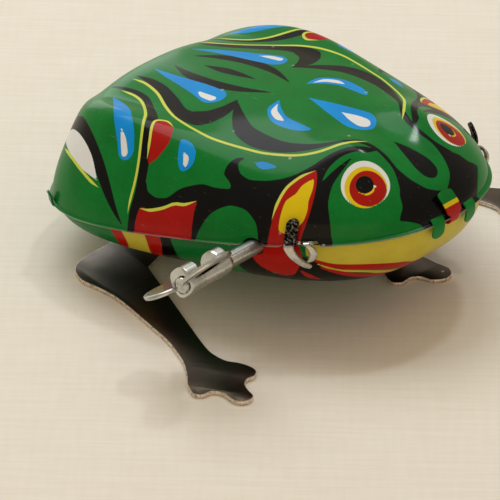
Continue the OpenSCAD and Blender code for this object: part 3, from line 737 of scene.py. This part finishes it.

# print shapes and painted shade on the unrolled belly strip (x back from the nose along the seam, y down from
# it)
bellyPrintAndShade = [
    # black over the lower side of the belly, partly print and partly painted shade where the belly turns
    # under
    ("polygon", "Black", [(-38.2, -1), (-36, 3), (-33, 9), (-29.5, 6), (-28, 3), (-24, 5), (-18, 8),
                          (-12, 10.5), (-6, 14), (2, 15), (2, 40), (-90, 40), (-52, 27), (-38, 24),
                          (-37, 13.5), (-38.4, 10.5), (-39.8, 6.5), (-38.8, 3)]),
    ("patch", "Red", [(-65, -1.5), (-64.7, 2.5), (-65.4, 5), (-68.1, 7.6), (-74, 11), (-70, 12), (-65.4, 8),
                      (-63, 5), (-62.2, 2.5), (-62.7, -1.5)]),
    ("patch", "Yellow", [(-62.8, -1.5), (-62.2, 2.5), (-63.2, 5), (-65.9, 7.6), (-72, 12), (-65, 13),
                         (-60.3, 8), (-58.4, 5), (-57.6, 2.5), (-57.7, -1.5)]),
    ("patch", "Red", [(-57.7, -1.5), (-57.6, 2.5), (-58.4, 5), (-60.3, 8), (-65, 13), (-61, 13), (-57.4, 8),
                      (-55.6, 5), (-54.6, 2.5), (-54.6, -1.5)]),
    ("patch", "Black", [(-54.6, -1.5), (-54.6, 2.5), (-55.6, 5), (-57.4, 8), (-61, 13), (-57, 14), (-53.6, 9),
                        (-52.5, 5), (-52.3, 2.5), (-53, -1.5)]),
    ("patch", "Red", [(-37.8, -1.5), (-37.4, 1.6), (-36.4, 4.6), (-34.4, 7.2), (-31.2, 9.4), (-29.2, 8.6),
                      (-28.4, 5.6), (-28, 3), (-30, -1.5)]),
    ("polygon", "Yellow", [(-27.6, -2), (-27.4, 2.8), (-25, 4.1), (-21, 5.7), (-16, 6.5), (-12, 7.5),
                           (-8.5, 9.3), (-5.5, 11.2), (-2, 12.3), (3, 12.6), (3, -2)]),
    ("stroke", "Red", [(-27, 3.3), (-24.5, 4.7), (-21.9, 5.8), (-15.6, 7.1), (-9.4, 9.2), (-5, 11.6),
                       (1, 12.8)],
     [0.15, 0.4, 0.6, 0.85, 1.2, 1.1, 1]),
    ("stroke", "Yellow", [(-25.5, 4.8), (-21.5, 7), (-15.6, 8.7), (-11, 11), (-7, 13.2), (1, 14.6)],
     [0.1, 0.3, 0.4, 0.7, 0.8, 0.8]),
    ("stroke", "Red", [(-24.5, 6), (-19, 9), (-12.5, 11.8), (-8, 14.4), (-2, 16.2), (2, 16.4)],
     [0.2, 0.7, 1, 1.1, 1.1, 1]),
    ("stroke", "Red", [(-28, 7), (-26, 9.5), (-23.5, 11.5)], [0.2, 0.7, 0.1]),
    # painted shade: this thin black band just under the seam stands in for the shadowed gap below the upper
    # tin's lip
    ("stroke", "Black", [(-26, 0.2), (-20, 0.5), (-10, 0.6), (2, 0.6)], [0.4, 0.6, 0.68, 0.68]),
    # unseen underside: a plain green panel in the middle of the belly
    ("polygon", "Green", [(-84, 26), (-60, 20), (-34, 22), (-12, 26), (2, 27), (2, 60), (-120, 60)]),
]


# swept strips: fingers, tabs and flanges

def sweepStrip(path, across, halfWidths, thick):
    # a flat strip that follows a path of points; across is its sideways direction
    path = np.asarray(path, float)
    across = np.asarray(across, float)
    tangent = np.gradient(path, axis=0)
    tangent /= np.linalg.norm(tangent, axis=1)[:, None]
    normal = np.cross(tangent, across)
    normal /= np.linalg.norm(normal, axis=1)[:, None]
    soft = thick * 0.3
    points = []
    for centre, up, half in zip(path, normal, halfWidths):
        t = thick / 2
        inner = max(half - soft, half * 0.4)
        for w, h in ((inner, t), (half, t - soft), (half, soft - t), (inner, -t),
                     (-inner, -t), (-half, soft - t), (-half, t - soft), (-inner, t)):
            points.append(centre + across * w + up * h)
    rows = len(path)
    faces = gridFaces(rows, 8).tolist()
    faces.append(list(range(8)))
    faces.append([(rows - 1) * 8 + i for i in reversed(range(8))])
    return np.array(points), faces


def roundedWidths(path, half, tipLength):
    # half width along a path, closing to a round tip
    steps = np.linalg.norm(np.diff(path, axis=0), axis=1)
    left = np.flip(np.concatenate([[0], np.cumsum(np.flip(steps))]))
    inTip = np.clip(1 - left / tipLength, 0, 1)
    return half * np.sqrt(np.maximum(1 - inTip**2, 0.02))


def joinParts(parts):
    points, faces, offset = [], [], 0
    for some, cells in parts:
        points.append(some)
        faces += [[offset + i for i in cell] for cell in cells]
        offset += len(some)
    return np.vstack(points), faces


claws = {
    "plateOut": 8.85, "seatOut": 8.7, "strapShort": 0.2, "strapRows": 12,
    "fingers": [
        {"half": 1.1, "path": [(-1.7, -0.4, 0), (-1.7, 0.15, 0), (-1.65, 0.62, 0.25), (-1.6, 0.8, 0.9),
                               (-1.35, 0.55, 2.2), (-1.05, 0, 3.6), (-0.8, -0.4, 4.6)]},
        {"half": 0.9, "path": [(-2, -0.4, 0), (-2.05, 0.2, 0), (-2.1, 0.72, -0.25), (-1.9, 1, -0.9),
                               (-1.1, 1.15, -2.1), (0.1, 1, -3.3), (1.1, 0.75, -4.2)]},
        {"half": 0.65, "path": [(0.5, -0.4, 0.1), (0.6, 0.4, 0.3), (1.2, 1.1, 0.3), (2, 1.45, -0.3),
                                (2.3, 1.5, -1.2), (1.9, 1.3, -2.2), (1.2, 1.15, -2.8)]},
    ],
}


def frameSide(side, node, name):
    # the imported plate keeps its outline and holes; only its straight claw is redrawn bent
    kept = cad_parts[node].data.copy()
    work = bmesh.new()
    work.from_mesh(kept)
    bmesh.ops.remove_doubles(work, verts=work.verts, dist=1e-6)
    plateY = claws["plateOut"] * millimetre
    outside = [v for v in work.verts if side * v.co.y > plateY]
    bmesh.ops.delete(work, geom=outside, context="VERTS")
    loose = [e for e in work.edges if e.is_boundary]
    bmesh.ops.holes_fill(work, edges=loose, sides=0)
    work.verts.ensure_lookup_table()
    platePoints = np.array([v.co for v in work.verts]) / millimetre
    plateFaces = [[v.index for v in f.verts] for f in work.faces]
    work.free()
    point, along, outward, up = seamFrame(claw["x"], side)
    parts = [(platePoints, plateFaces)]
    reach = np.linspace(0, 1, claws["strapRows"])
    seat = np.array([claw["x"], side * claws["seatOut"], seamAt(claw["x"])])
    end = point - outward * claws["strapShort"]
    strap = [seat + (end - seat) * t for t in reach]
    parts.append(sweepStrip(strap, along, np.full(len(strap), claw["width"] / 2), claw["thick"]))
    for finger in claws["fingers"]:
        curve = smoothCurve(finger["path"], perSpan=6)
        path = np.array([point + along * shift + outward * n + up * z for shift, n, z in curve])
        widths = roundedWidths(path, finger["half"], finger["half"])
        parts.append(sweepStrip(path, along, widths, claw["thick"]))
    points, faces = joinParts(parts)
    # the finger bent up is coloured nearly black
    dark = np.zeros(len(points))
    before = len(platePoints) + len(parts[1][0])
    dark[before:before + len(parts[2][0])] = 1
    piece = pieceFrom(name, points, faces, finishes["clawTin"], {"secondTone": dark})
    return settle(piece, "body", "bare_tinplate", node)


tabs = {
    "half": 1.35, "thick": 0.4, "noseX": {-1: 37.72, 1: 37.82}, "tailX": -27.4, "chinHalf": 1.8,
    "nosePath": [(-0.5, 0.4), (0.1, 0.25), (0.5, -0.2), (0.62, -1.1), (0.45, -2.3), (0.1, -3.4)],
    "chinPath": [(-1.2, -1.8), (-0.2, -1.75), (0.35, -1.2), (0.55, -0.3), (0.45, 0.8), (0.0, 2.1),
                 (-0.8, 3.3), (-1.5, 4.1)],
    "tailPath": [(-0.6, -0.6), (0.1, -0.55), (0.5, -0.2), (0.6, 0.5), (0.75, 1.3), (1.15, 1.9)],
}


def plainPrint(count, **strong):
    layers = {label: np.full(count, -2.0) for label in startInks(1)}
    for label in ("lineASide", "lineBSide"):
        layers[label] = np.full(count, 2.0)
    layers["bareTin"] = np.zeros(count)
    layers.update(strong)
    return layers


def seamTab(name, x, side, profile, slotName, finish):
    point, along, outward, up = seamFrame(x, side)
    curve = smoothCurve(profile, perSpan=6)
    path = np.array([point + outward * n + up * z for n, z in curve])
    widths = roundedWidths(path, tabs["half"], tabs["half"] * 0.9)
    points, faces = sweepStrip(path, along, widths, tabs["thick"])
    bare = np.zeros(len(points))
    bare[-8:] = 0.8
    piece = pieceFrom(name, points, faces, finish, plainPrint(len(points), bareTin=bare))
    return settle(piece, "body", slotName)


def noseLatch():
    for label, side in (("Right", -1), ("Left", 1)):
        seamTab("noseTab" + label, tabs["noseX"][side], side, tabs["nosePath"], "printed_tin_green",
                finishes["upperPrint"])
        seamTab("tailTab" + label, tabs["tailX"], side, tabs["tailPath"], "printed_tin_green",
                finishes["lowerPrint"])
    # the middle tab comes up from the lower tin and lies over the nose
    curve = smoothCurve(tabs["chinPath"], perSpan=7)
    base = np.array([38.0, -0.6, seamAt(38)])
    path = np.array([base + [n, -0.25 * max(0, z), z] for n, z in curve])
    widths = roundedWidths(path, tabs["chinHalf"], 0.7)
    widths *= np.interp(curve[:, 1], [-0.4, 0.5], [0.6, 1])
    points, faces = sweepStrip(path, np.array([0, 1.0, 0]), widths, tabs["thick"])
    height = np.repeat(curve[:, 1], 8)
    red = 1.7 - height
    yellow = 0.35 - np.abs(height - 2.05)
    piece = pieceFrom("chinTab", points, faces, finishes["upperPrint"],
                      plainPrint(len(points), inkRed=np.clip(red, -2, 2), inkYellow=np.clip(yellow, -2, 2)))
    settle(piece, "body", "printed_tin_green")


# legs

leg = {
    "thick": 0.8, "inside": 12.6, "hip": (-19.0, 8.5), "bevel": 0.16, "earRadius": 2.6,
    "earSides": [(4, 0), (3.2, 3.2), (2.7, 6.2)],
    "outline": [(-23, 12.6), (-15, 12.6), (-12.4, 21.8), (-5.7, 25.3), (0.9, 28.8), (7.3, 32.2),
                (11.5, 34.4), (15.2, 36), (18.6, 36.3), (20.7, 35.4), (22.6, 34.95), (24.6, 35.2),
                (25.7, 36.8), (25.5, 38.4), (26.3, 39.9), (28, 40.9), (29.7, 41.6), (30.3, 43),
                (29.7, 44.5), (28.1, 45), (25.6, 44.5), (23.9, 45.2), (23.4, 47.2), (22.1, 48),
                (20.7, 47.4), (19.1, 46.3), (16.8, 44), (14, 41.7), (10.6, 39.8), (6.9, 38.1),
                (0.5, 36.1), (-5.8, 34.2), (-10.1, 33.2), (-14, 33), (-18, 33), (-21.4, 31),
                (-22.9, 27.8), (-23.2, 24), (-23.4, 18)],
}


def flatPlate(outline, low, high, axis=2):
    # a sheared plate between two flat faces; axis is the direction of its thickness
    ring = np.asarray(outline, float)
    others = [i for i in range(3) if i != axis]
    layers = []
    for level in (low, high):
        points = np.zeros((len(ring), 3))
        points[:, others] = ring
        points[:, axis] = level
        layers.append(points)
    count = len(ring)
    faces = [list(range(count))[::-1], list(range(count, 2 * count))]
    faces += [[i, (i + 1) % count, count + (i + 1) % count, count + i] for i in range(count)]
    return np.vstack(layers), faces


def shearedPlate(name, parts, finish, bevel):
    # bevelled plate whose side walls carry the bright sheared edge
    points, faces = joinParts(parts)
    piece = pieceFrom(name, points, faces, finish, None, bevel, 50)
    mesh = piece.data
    edge = np.zeros(len(mesh.vertices))
    for polygon in mesh.polygons:
        area = polygon.area / millimetre**2
        broad = max(abs(polygon.normal.z), abs(polygon.normal.y) if area > 4 else 0)
        if broad < 0.6:
            for index in polygon.vertices:
                edge[index] = 1
    layer = mesh.attributes.new("secondTone", "FLOAT", "POINT")
    layer.data.foreach_set("value", edge.astype(np.float32))
    return piece


def rearLeg(side, node, name):
    outline = smoothCurve(leg["outline"][2:], perSpan=4, pull=0.45)
    outline = np.vstack([leg["outline"][:2], outline])
    flat, flatFaces = flatPlate(outline, 0, leg["thick"])
    hipX, hipZ = leg["hip"]
    earArc = [(hipX + leg["earRadius"] * math.cos(a), hipZ + leg["earRadius"] * math.sin(a))
              for a in np.radians(np.arange(0, 181, 15))]
    rightSide = [(hipX + out, z) for out, z in leg["earSides"]]
    leftSide = [(hipX - out, z) for out, z in reversed(leg["earSides"])]
    ear = leftSide[-1:] + rightSide + earArc + leftSide[:-1]
    standing, earFaces = flatPlate(ear, leg["inside"], leg["inside"] + leg["thick"], 1)
    points, faces = joinParts([(flat, flatFaces), (standing, earFaces)])
    points = points * [1, side, 1]
    piece = shearedPlate(name, [(points, faces)], finishes["bluedSteel"], leg["bevel"])
    return settle(piece, "rear_legs", "blued_steel", node)


foot = {
    "thick": 0.8, "y": 8.8, "x": 17.0, "stripWidth": 5.6, "stripHeight": 15.4, "bevel": 0.15,
    "outline": [(14.2, 8.8), (14.9, 6.8), (18, 5.2), (21, 3.4), (22.6, 3.1), (23.8, 4.2), (23.7, 6.4),
                (24.8, 7.9), (27, 8.4), (28.4, 10.2), (28.2, 12.2), (26.4, 13.6), (23.6, 13.5), (20.8, 13.6),
                (17.6, 12.6), (15, 11.2)],
}


def frontFoot():
    flat, flatFaces = flatPlate(smoothCurve(foot["outline"], True, 4, 0.45), 0, foot["thick"])
    low = foot["x"] - foot["stripWidth"] / 2
    high = foot["x"] + foot["stripWidth"] / 2
    strip = [(low, 0), (high, 0), (high, foot["stripHeight"]), (low, foot["stripHeight"])]
    rise, riseFaces = flatPlate(strip, foot["y"], foot["y"] + foot["thick"], 1)
    piece = shearedPlate("frontFoot", [(flat, flatFaces), (rise, riseFaces)], finishes["bluedSteel"],
                         foot["bevel"])
    return settle(piece, "body", "blued_steel", "front_foot")


# key

key = {
    "turn": 47.0, "outer": -44.1, "inner": -28.6, "wingOut": 5.8, "wingRadius": 5.0, "wingY": -42.8,
    "bentRadius": 4.7, "bentOut": 5.3, "bentWide": 0.74, "bend": 0.34,
    "archHalf": 2.5, "archHigh": 3.0, "windowHigh": 0.5, "low": 1.9, "stations": 60, "squareness": 0.72,
    "outerArch": (-44.4, -43.9, -41.2, -40.8), "innerArch": (-36.8, -36.4, -34.0, -33.4),
    "neck": (-34.4, -33.2), "neckSlim": 0.36, "mouthWall": 0.26, "mouthDeep": 1.1,
    "peen": [(-43.6, 1.5), (-44.1, 1.55), (-44.45, 1.35), (-44.55, 0.85), (-44.45, 0.35)],
}


def keyFrame():
    turn = math.radians(key["turn"])
    wide = np.array([math.cos(turn), 0, math.sin(turn)])
    face = np.array([-math.sin(turn), 0, math.cos(turn)])
    return wide, face


def smoothStep(value, low, high):
    t = min(1, max(0, (value - low) / (high - low)))
    return t * t * (3 - 2 * t)


def archAt(y):
    # height of the raised barrel on its upper side: two arches with a pressed window between
    heights = []
    for start, full, fall, end in (key["outerArch"], key["innerArch"]):
        heights.append(smoothStep(y, start, full) * (1 - smoothStep(y, fall, end)))
    return max(heights)


def barrel():
    wide, face = keyFrame()
    around = np.radians(np.arange(0, 360, 10))
    stations = np.linspace(key["outer"], key["inner"], key["stations"])
    rows = []
    for y in stations:
        arch = archAt(y)
        top = key["windowHigh"] + (key["archHigh"] - key["windowHigh"]) * arch
        bottom = key["low"]
        half = key["archHalf"] * (0.97 + 0.05 * arch)
        power = key["squareness"]
        slim = 1 - key["neckSlim"] * smoothStep(y, *key["neck"])
        ring = []
        for a in around:
            c, n = math.cos(a), math.sin(a)
            w = slim * half * math.copysign(abs(c) ** power, c)
            h = slim * (top if n > 0 else bottom) * math.copysign(abs(n) ** power, n)
            ring.append(np.array([keyPlace["x"], y, keyPlace["z"]]) + wide * w + face * h)
        rows.append(ring)
    outerRows = np.array(rows)
    # the rolled sheet is open at its outer end, with the shaft end inside
    centre = np.array([keyPlace["x"], 0, keyPlace["z"]])
    mouth = outerRows[0] + (centre + [0, key["outer"], 0] - outerRows[0]) * key["mouthWall"]
    deep = mouth + [0, key["mouthDeep"], 0]
    grid = np.concatenate([deep[None], mouth[None], outerRows])
    count = len(around)
    faces = gridFaces(len(grid), count).tolist()
    last = (len(grid) - 1) * count
    faces.append([last + i for i in range(count)])
    faces.append(list(reversed(range(count))))
    return grid.reshape(-1, 3), faces


def wing(side):
    # a round wing, slightly dished, merging into the barrel
    wide, face = keyFrame()
    middle = np.array([keyPlace["x"], key["wingY"], keyPlace["z"]])
    shaftWay = np.array([0, 1.0, 0])
    radius, out, wideness = key["wingRadius"], key["wingOut"], 1.0
    if side < 0:
        radius, out, wideness = key["bentRadius"], key["bentOut"], key["bentWide"]
    rings = [1.0, 0.985, 0.93, 0.8, 0.5]
    lift = [0.0, 0.3, 0.43, 0.45, 0.42]
    around = np.radians(np.arange(0, 360, 7.5))
    rows = []
    for sign in (1, -1):
        for share, height in (zip(rings, lift) if sign > 0 else zip(rings[::-1], lift[::-1])):
            row = []
            for a in around:
                w = side * (out + wideness * radius * share * math.cos(a))
                along = radius * share * math.sin(a)
                bend = key["bend"] * max(0, -w - 1.5)
                row.append(middle + wide * w + shaftWay * along + face * (sign * height + bend))
            rows.append(row)
        if sign > 0:
            rows = rows[::-1]
    grid = np.array(rows)
    count = len(around)
    faces = gridFaces(len(grid), count).tolist()
    last = (len(grid) - 1) * count
    faces.append(list(reversed(range(count))))
    faces.append([last + i for i in range(count)])
    return grid.reshape(-1, 3), faces


def shaftEnd():
    # peened end of the arbor inside the barrel, roughly round
    rows = []
    around = np.radians(np.arange(0, 360, 20))
    for y, r in key["peen"]:
        rows.append([(keyPlace["x"] + r * math.cos(a) * (1 + 0.05 * math.sin(3 * a)),
                      y + 0.05 * math.cos(4 * a), keyPlace["z"] + r * math.sin(a)) for a in around])
    grid = np.array(rows)
    count = len(around)
    faces = gridFaces(len(grid), count).tolist()
    faces.append(list(reversed(range(count))))
    faces.append([(len(grid) - 1) * count + i for i in range(count)])
    return grid.reshape(-1, 3), faces


def windingKey():
    points, faces = joinParts([barrel(), wing(-1), wing(1), shaftEnd()])
    piece = pieceFrom("windingKey", points, faces, finishes["nickel"], {"secondTone": np.zeros(len(points))})
    return settle(piece, "key_and_arbor", "nickel_plate", "winding_key")


# build

upperTin()
lowerTin()
print("printed tin done")
frameSide(-1, "frame_plate_right", "framePlateRight")
frameSide(1, "frame_plate_left", "framePlateLeft")
noseLatch()
rearLeg(-1, "rear_leg_right", "rearLegRight")
rearLeg(1, "rear_leg_left", "rearLegLeft")
frontFoot()
windingKey()
print("claws, tabs, legs and key done")

carried = {
    "frame_pillars": "brightSteel", "mainspring": "springSteel", "winding_arbor": "brightSteel",
    "ratchet_wheel": "brightSteel", "great_wheel": "brass", "click": "brightSteel",
    "click_pin": "brightSteel", "click_spring": "springSteel", "second_arbor": "brightSteel",
    "second_pinion": "brass",
    "second_wheel": "brass", "cam_arbor": "brightSteel", "cam_pinion": "brass", "kick_cam": "brightSteel",
    "hip_axle": "brightSteel", "hip_collars": "tinplate", "kick_arm": "brightSteel",
    "kick_spring": "springSteel", "front_foot_rivets": "nickel",
}
for nodeName, finishName in carried.items():
    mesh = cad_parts[nodeName].data
    mesh.materials.clear()
    mesh.materials.append(finishes[finishName])
print("clockwork finished")

# floor, light and camera

studio = {
    "floorHalf": 1.6, "grainTurn": 40.8, "floorPale": tone(240, 235, 223), "floorWarm": tone(231, 224, 209),
    "lampColour": (0.93, 0.98, 1.0),
    "worldColour": (1.0, 0.86, 0.7, 1.0), "worldStrength": 0.47,
    "lamps": [
        {"name": "window", "towards": (-0.8, 0.35, 1.4), "distance": 1.2, "size": 0.8, "power": 6.8},
        {"name": "frontWindow", "towards": (-0.05, 0.44, 0.91), "distance": 0.8, "size": 0.07, "power": 0.75},
        {"name": "sideWindow", "towards": (-1.0, 0.55, 0.12), "distance": 0.8, "size": 0.35, "power": 0.8},
        {"name": "warmBounce", "towards": (0.6, -0.75, 0.2), "distance": 0.8, "size": 0.7, "power": 1.0,
         "colour": (1.0, 0.72, 0.42)},
    ],
}
cameraPlace = {"target": (0.0, 0.0, 0.0175), "azimuth": 40.8, "elevation": 28.4, "distance": 0.8,
               "lens": 330.2, "aimRight": -0.00592, "aimUp": -0.01545, "roll": 0.012}


def tableTop():
    half = studio["floorHalf"]
    mesh = bpy.data.meshes.new("tableTop")
    corners = [(-half, -half, 0), (half, -half, 0), (half, half, 0), (-half, half, 0)]
    mesh.from_pydata(corners, [], [(0, 1, 2, 3)])
    floor = bpy.data.objects.new("tableTop", mesh)
    bpy.context.scene.collection.objects.link(floor)
    finish, tree, shader = newFinish("paleTable")
    place = addNode(tree, "ShaderNodeTexCoord").outputs["Object"]
    turned = addNode(tree, "ShaderNodeMapping", {},
                     {"Vector": place, "Rotation": (0, 0, -math.radians(studio["grainTurn"]))}).outputs[0]
    bands = []
    for stretch in ((60.0, 1100.0, 1.0), (900.0, 90.0, 1.0)):
        laid = addNode(tree, "ShaderNodeMapping", {}, {"Vector": turned, "Scale": stretch})
        bands.append(addNode(tree, "ShaderNodeTexNoise", {}, {"Vector": laid.outputs[0], "Scale": 1.0,
                                                              "Detail": 3.0}).outputs[0])
    streaks = maths(tree, "ADD", maths(tree, "MULTIPLY", bands[0], 0.65),
                    maths(tree, "MULTIPLY", bands[1], 0.35))
    colour = mixColour(tree, remap(tree, streaks, 0.25, 0.7), studio["floorWarm"], studio["floorPale"])
    tree.links.new(colour, shader.inputs["Base Color"])
    shader.inputs["Roughness"].default_value = 0.62
    shader.inputs["Specular IOR Level"].default_value = 0.25
    bump = addNode(tree, "ShaderNodeBump", {}, {"Strength": 0.2, "Distance": 0.0001, "Height": streaks})
    tree.links.new(bump.outputs[0], shader.inputs["Normal"])
    mesh.materials.append(finish)


def lightStudio():
    world = bpy.data.worlds.new("studio")
    world.use_nodes = True
    sky = world.node_tree.nodes["Background"]
    sky.inputs["Color"].default_value = studio["worldColour"]
    sky.inputs["Strength"].default_value = studio["worldStrength"]
    bpy.context.scene.world = world
    middle = Vector((0, 0, 0.015))
    for lamp in studio["lamps"]:
        data = bpy.data.lights.new(lamp["name"], "AREA")
        data.size = lamp["size"]
        data.energy = lamp["power"]
        data.color = lamp.get("colour", studio["lampColour"])
        made = bpy.data.objects.new(lamp["name"], data)
        bpy.context.scene.collection.objects.link(made)
        towards = Vector(lamp["towards"]).normalized()
        made.location = middle + towards * lamp["distance"]
        made.rotation_euler = towards.to_track_quat("Z", "Y").to_euler()


def placeCamera():
    c = cameraPlace
    azimuth, elevation = math.radians(c["azimuth"]), math.radians(c["elevation"])
    back = Vector((math.sin(azimuth) * math.cos(elevation), -math.cos(azimuth) * math.cos(elevation),
                   math.sin(elevation)))
    right = Vector((math.cos(azimuth), math.sin(azimuth), 0))
    up = back.cross(right)
    target = Vector(c["target"])
    eye = target + back * c["distance"]
    aim = target + right * c["aimRight"] + up * c["aimUp"]
    view = (eye - aim).normalized()
    data = bpy.data.cameras.new("studioCamera")
    data.lens = c["lens"]
    data.sensor_width = 36
    data.clip_start = 0.01
    camera = bpy.data.objects.new("studioCamera", data)
    bpy.context.scene.collection.objects.link(camera)
    turn = view.to_track_quat("Z", "Y").to_matrix().to_4x4() @ Matrix.Rotation(c["roll"], 4, "Z")
    camera.matrix_world = Matrix.Translation(eye) @ turn
    bpy.context.scene.camera = camera


tableTop()
lightStudio()
placeCamera()
bpy.context.scene.view_settings.view_transform = "Standard"
print("studio ready")
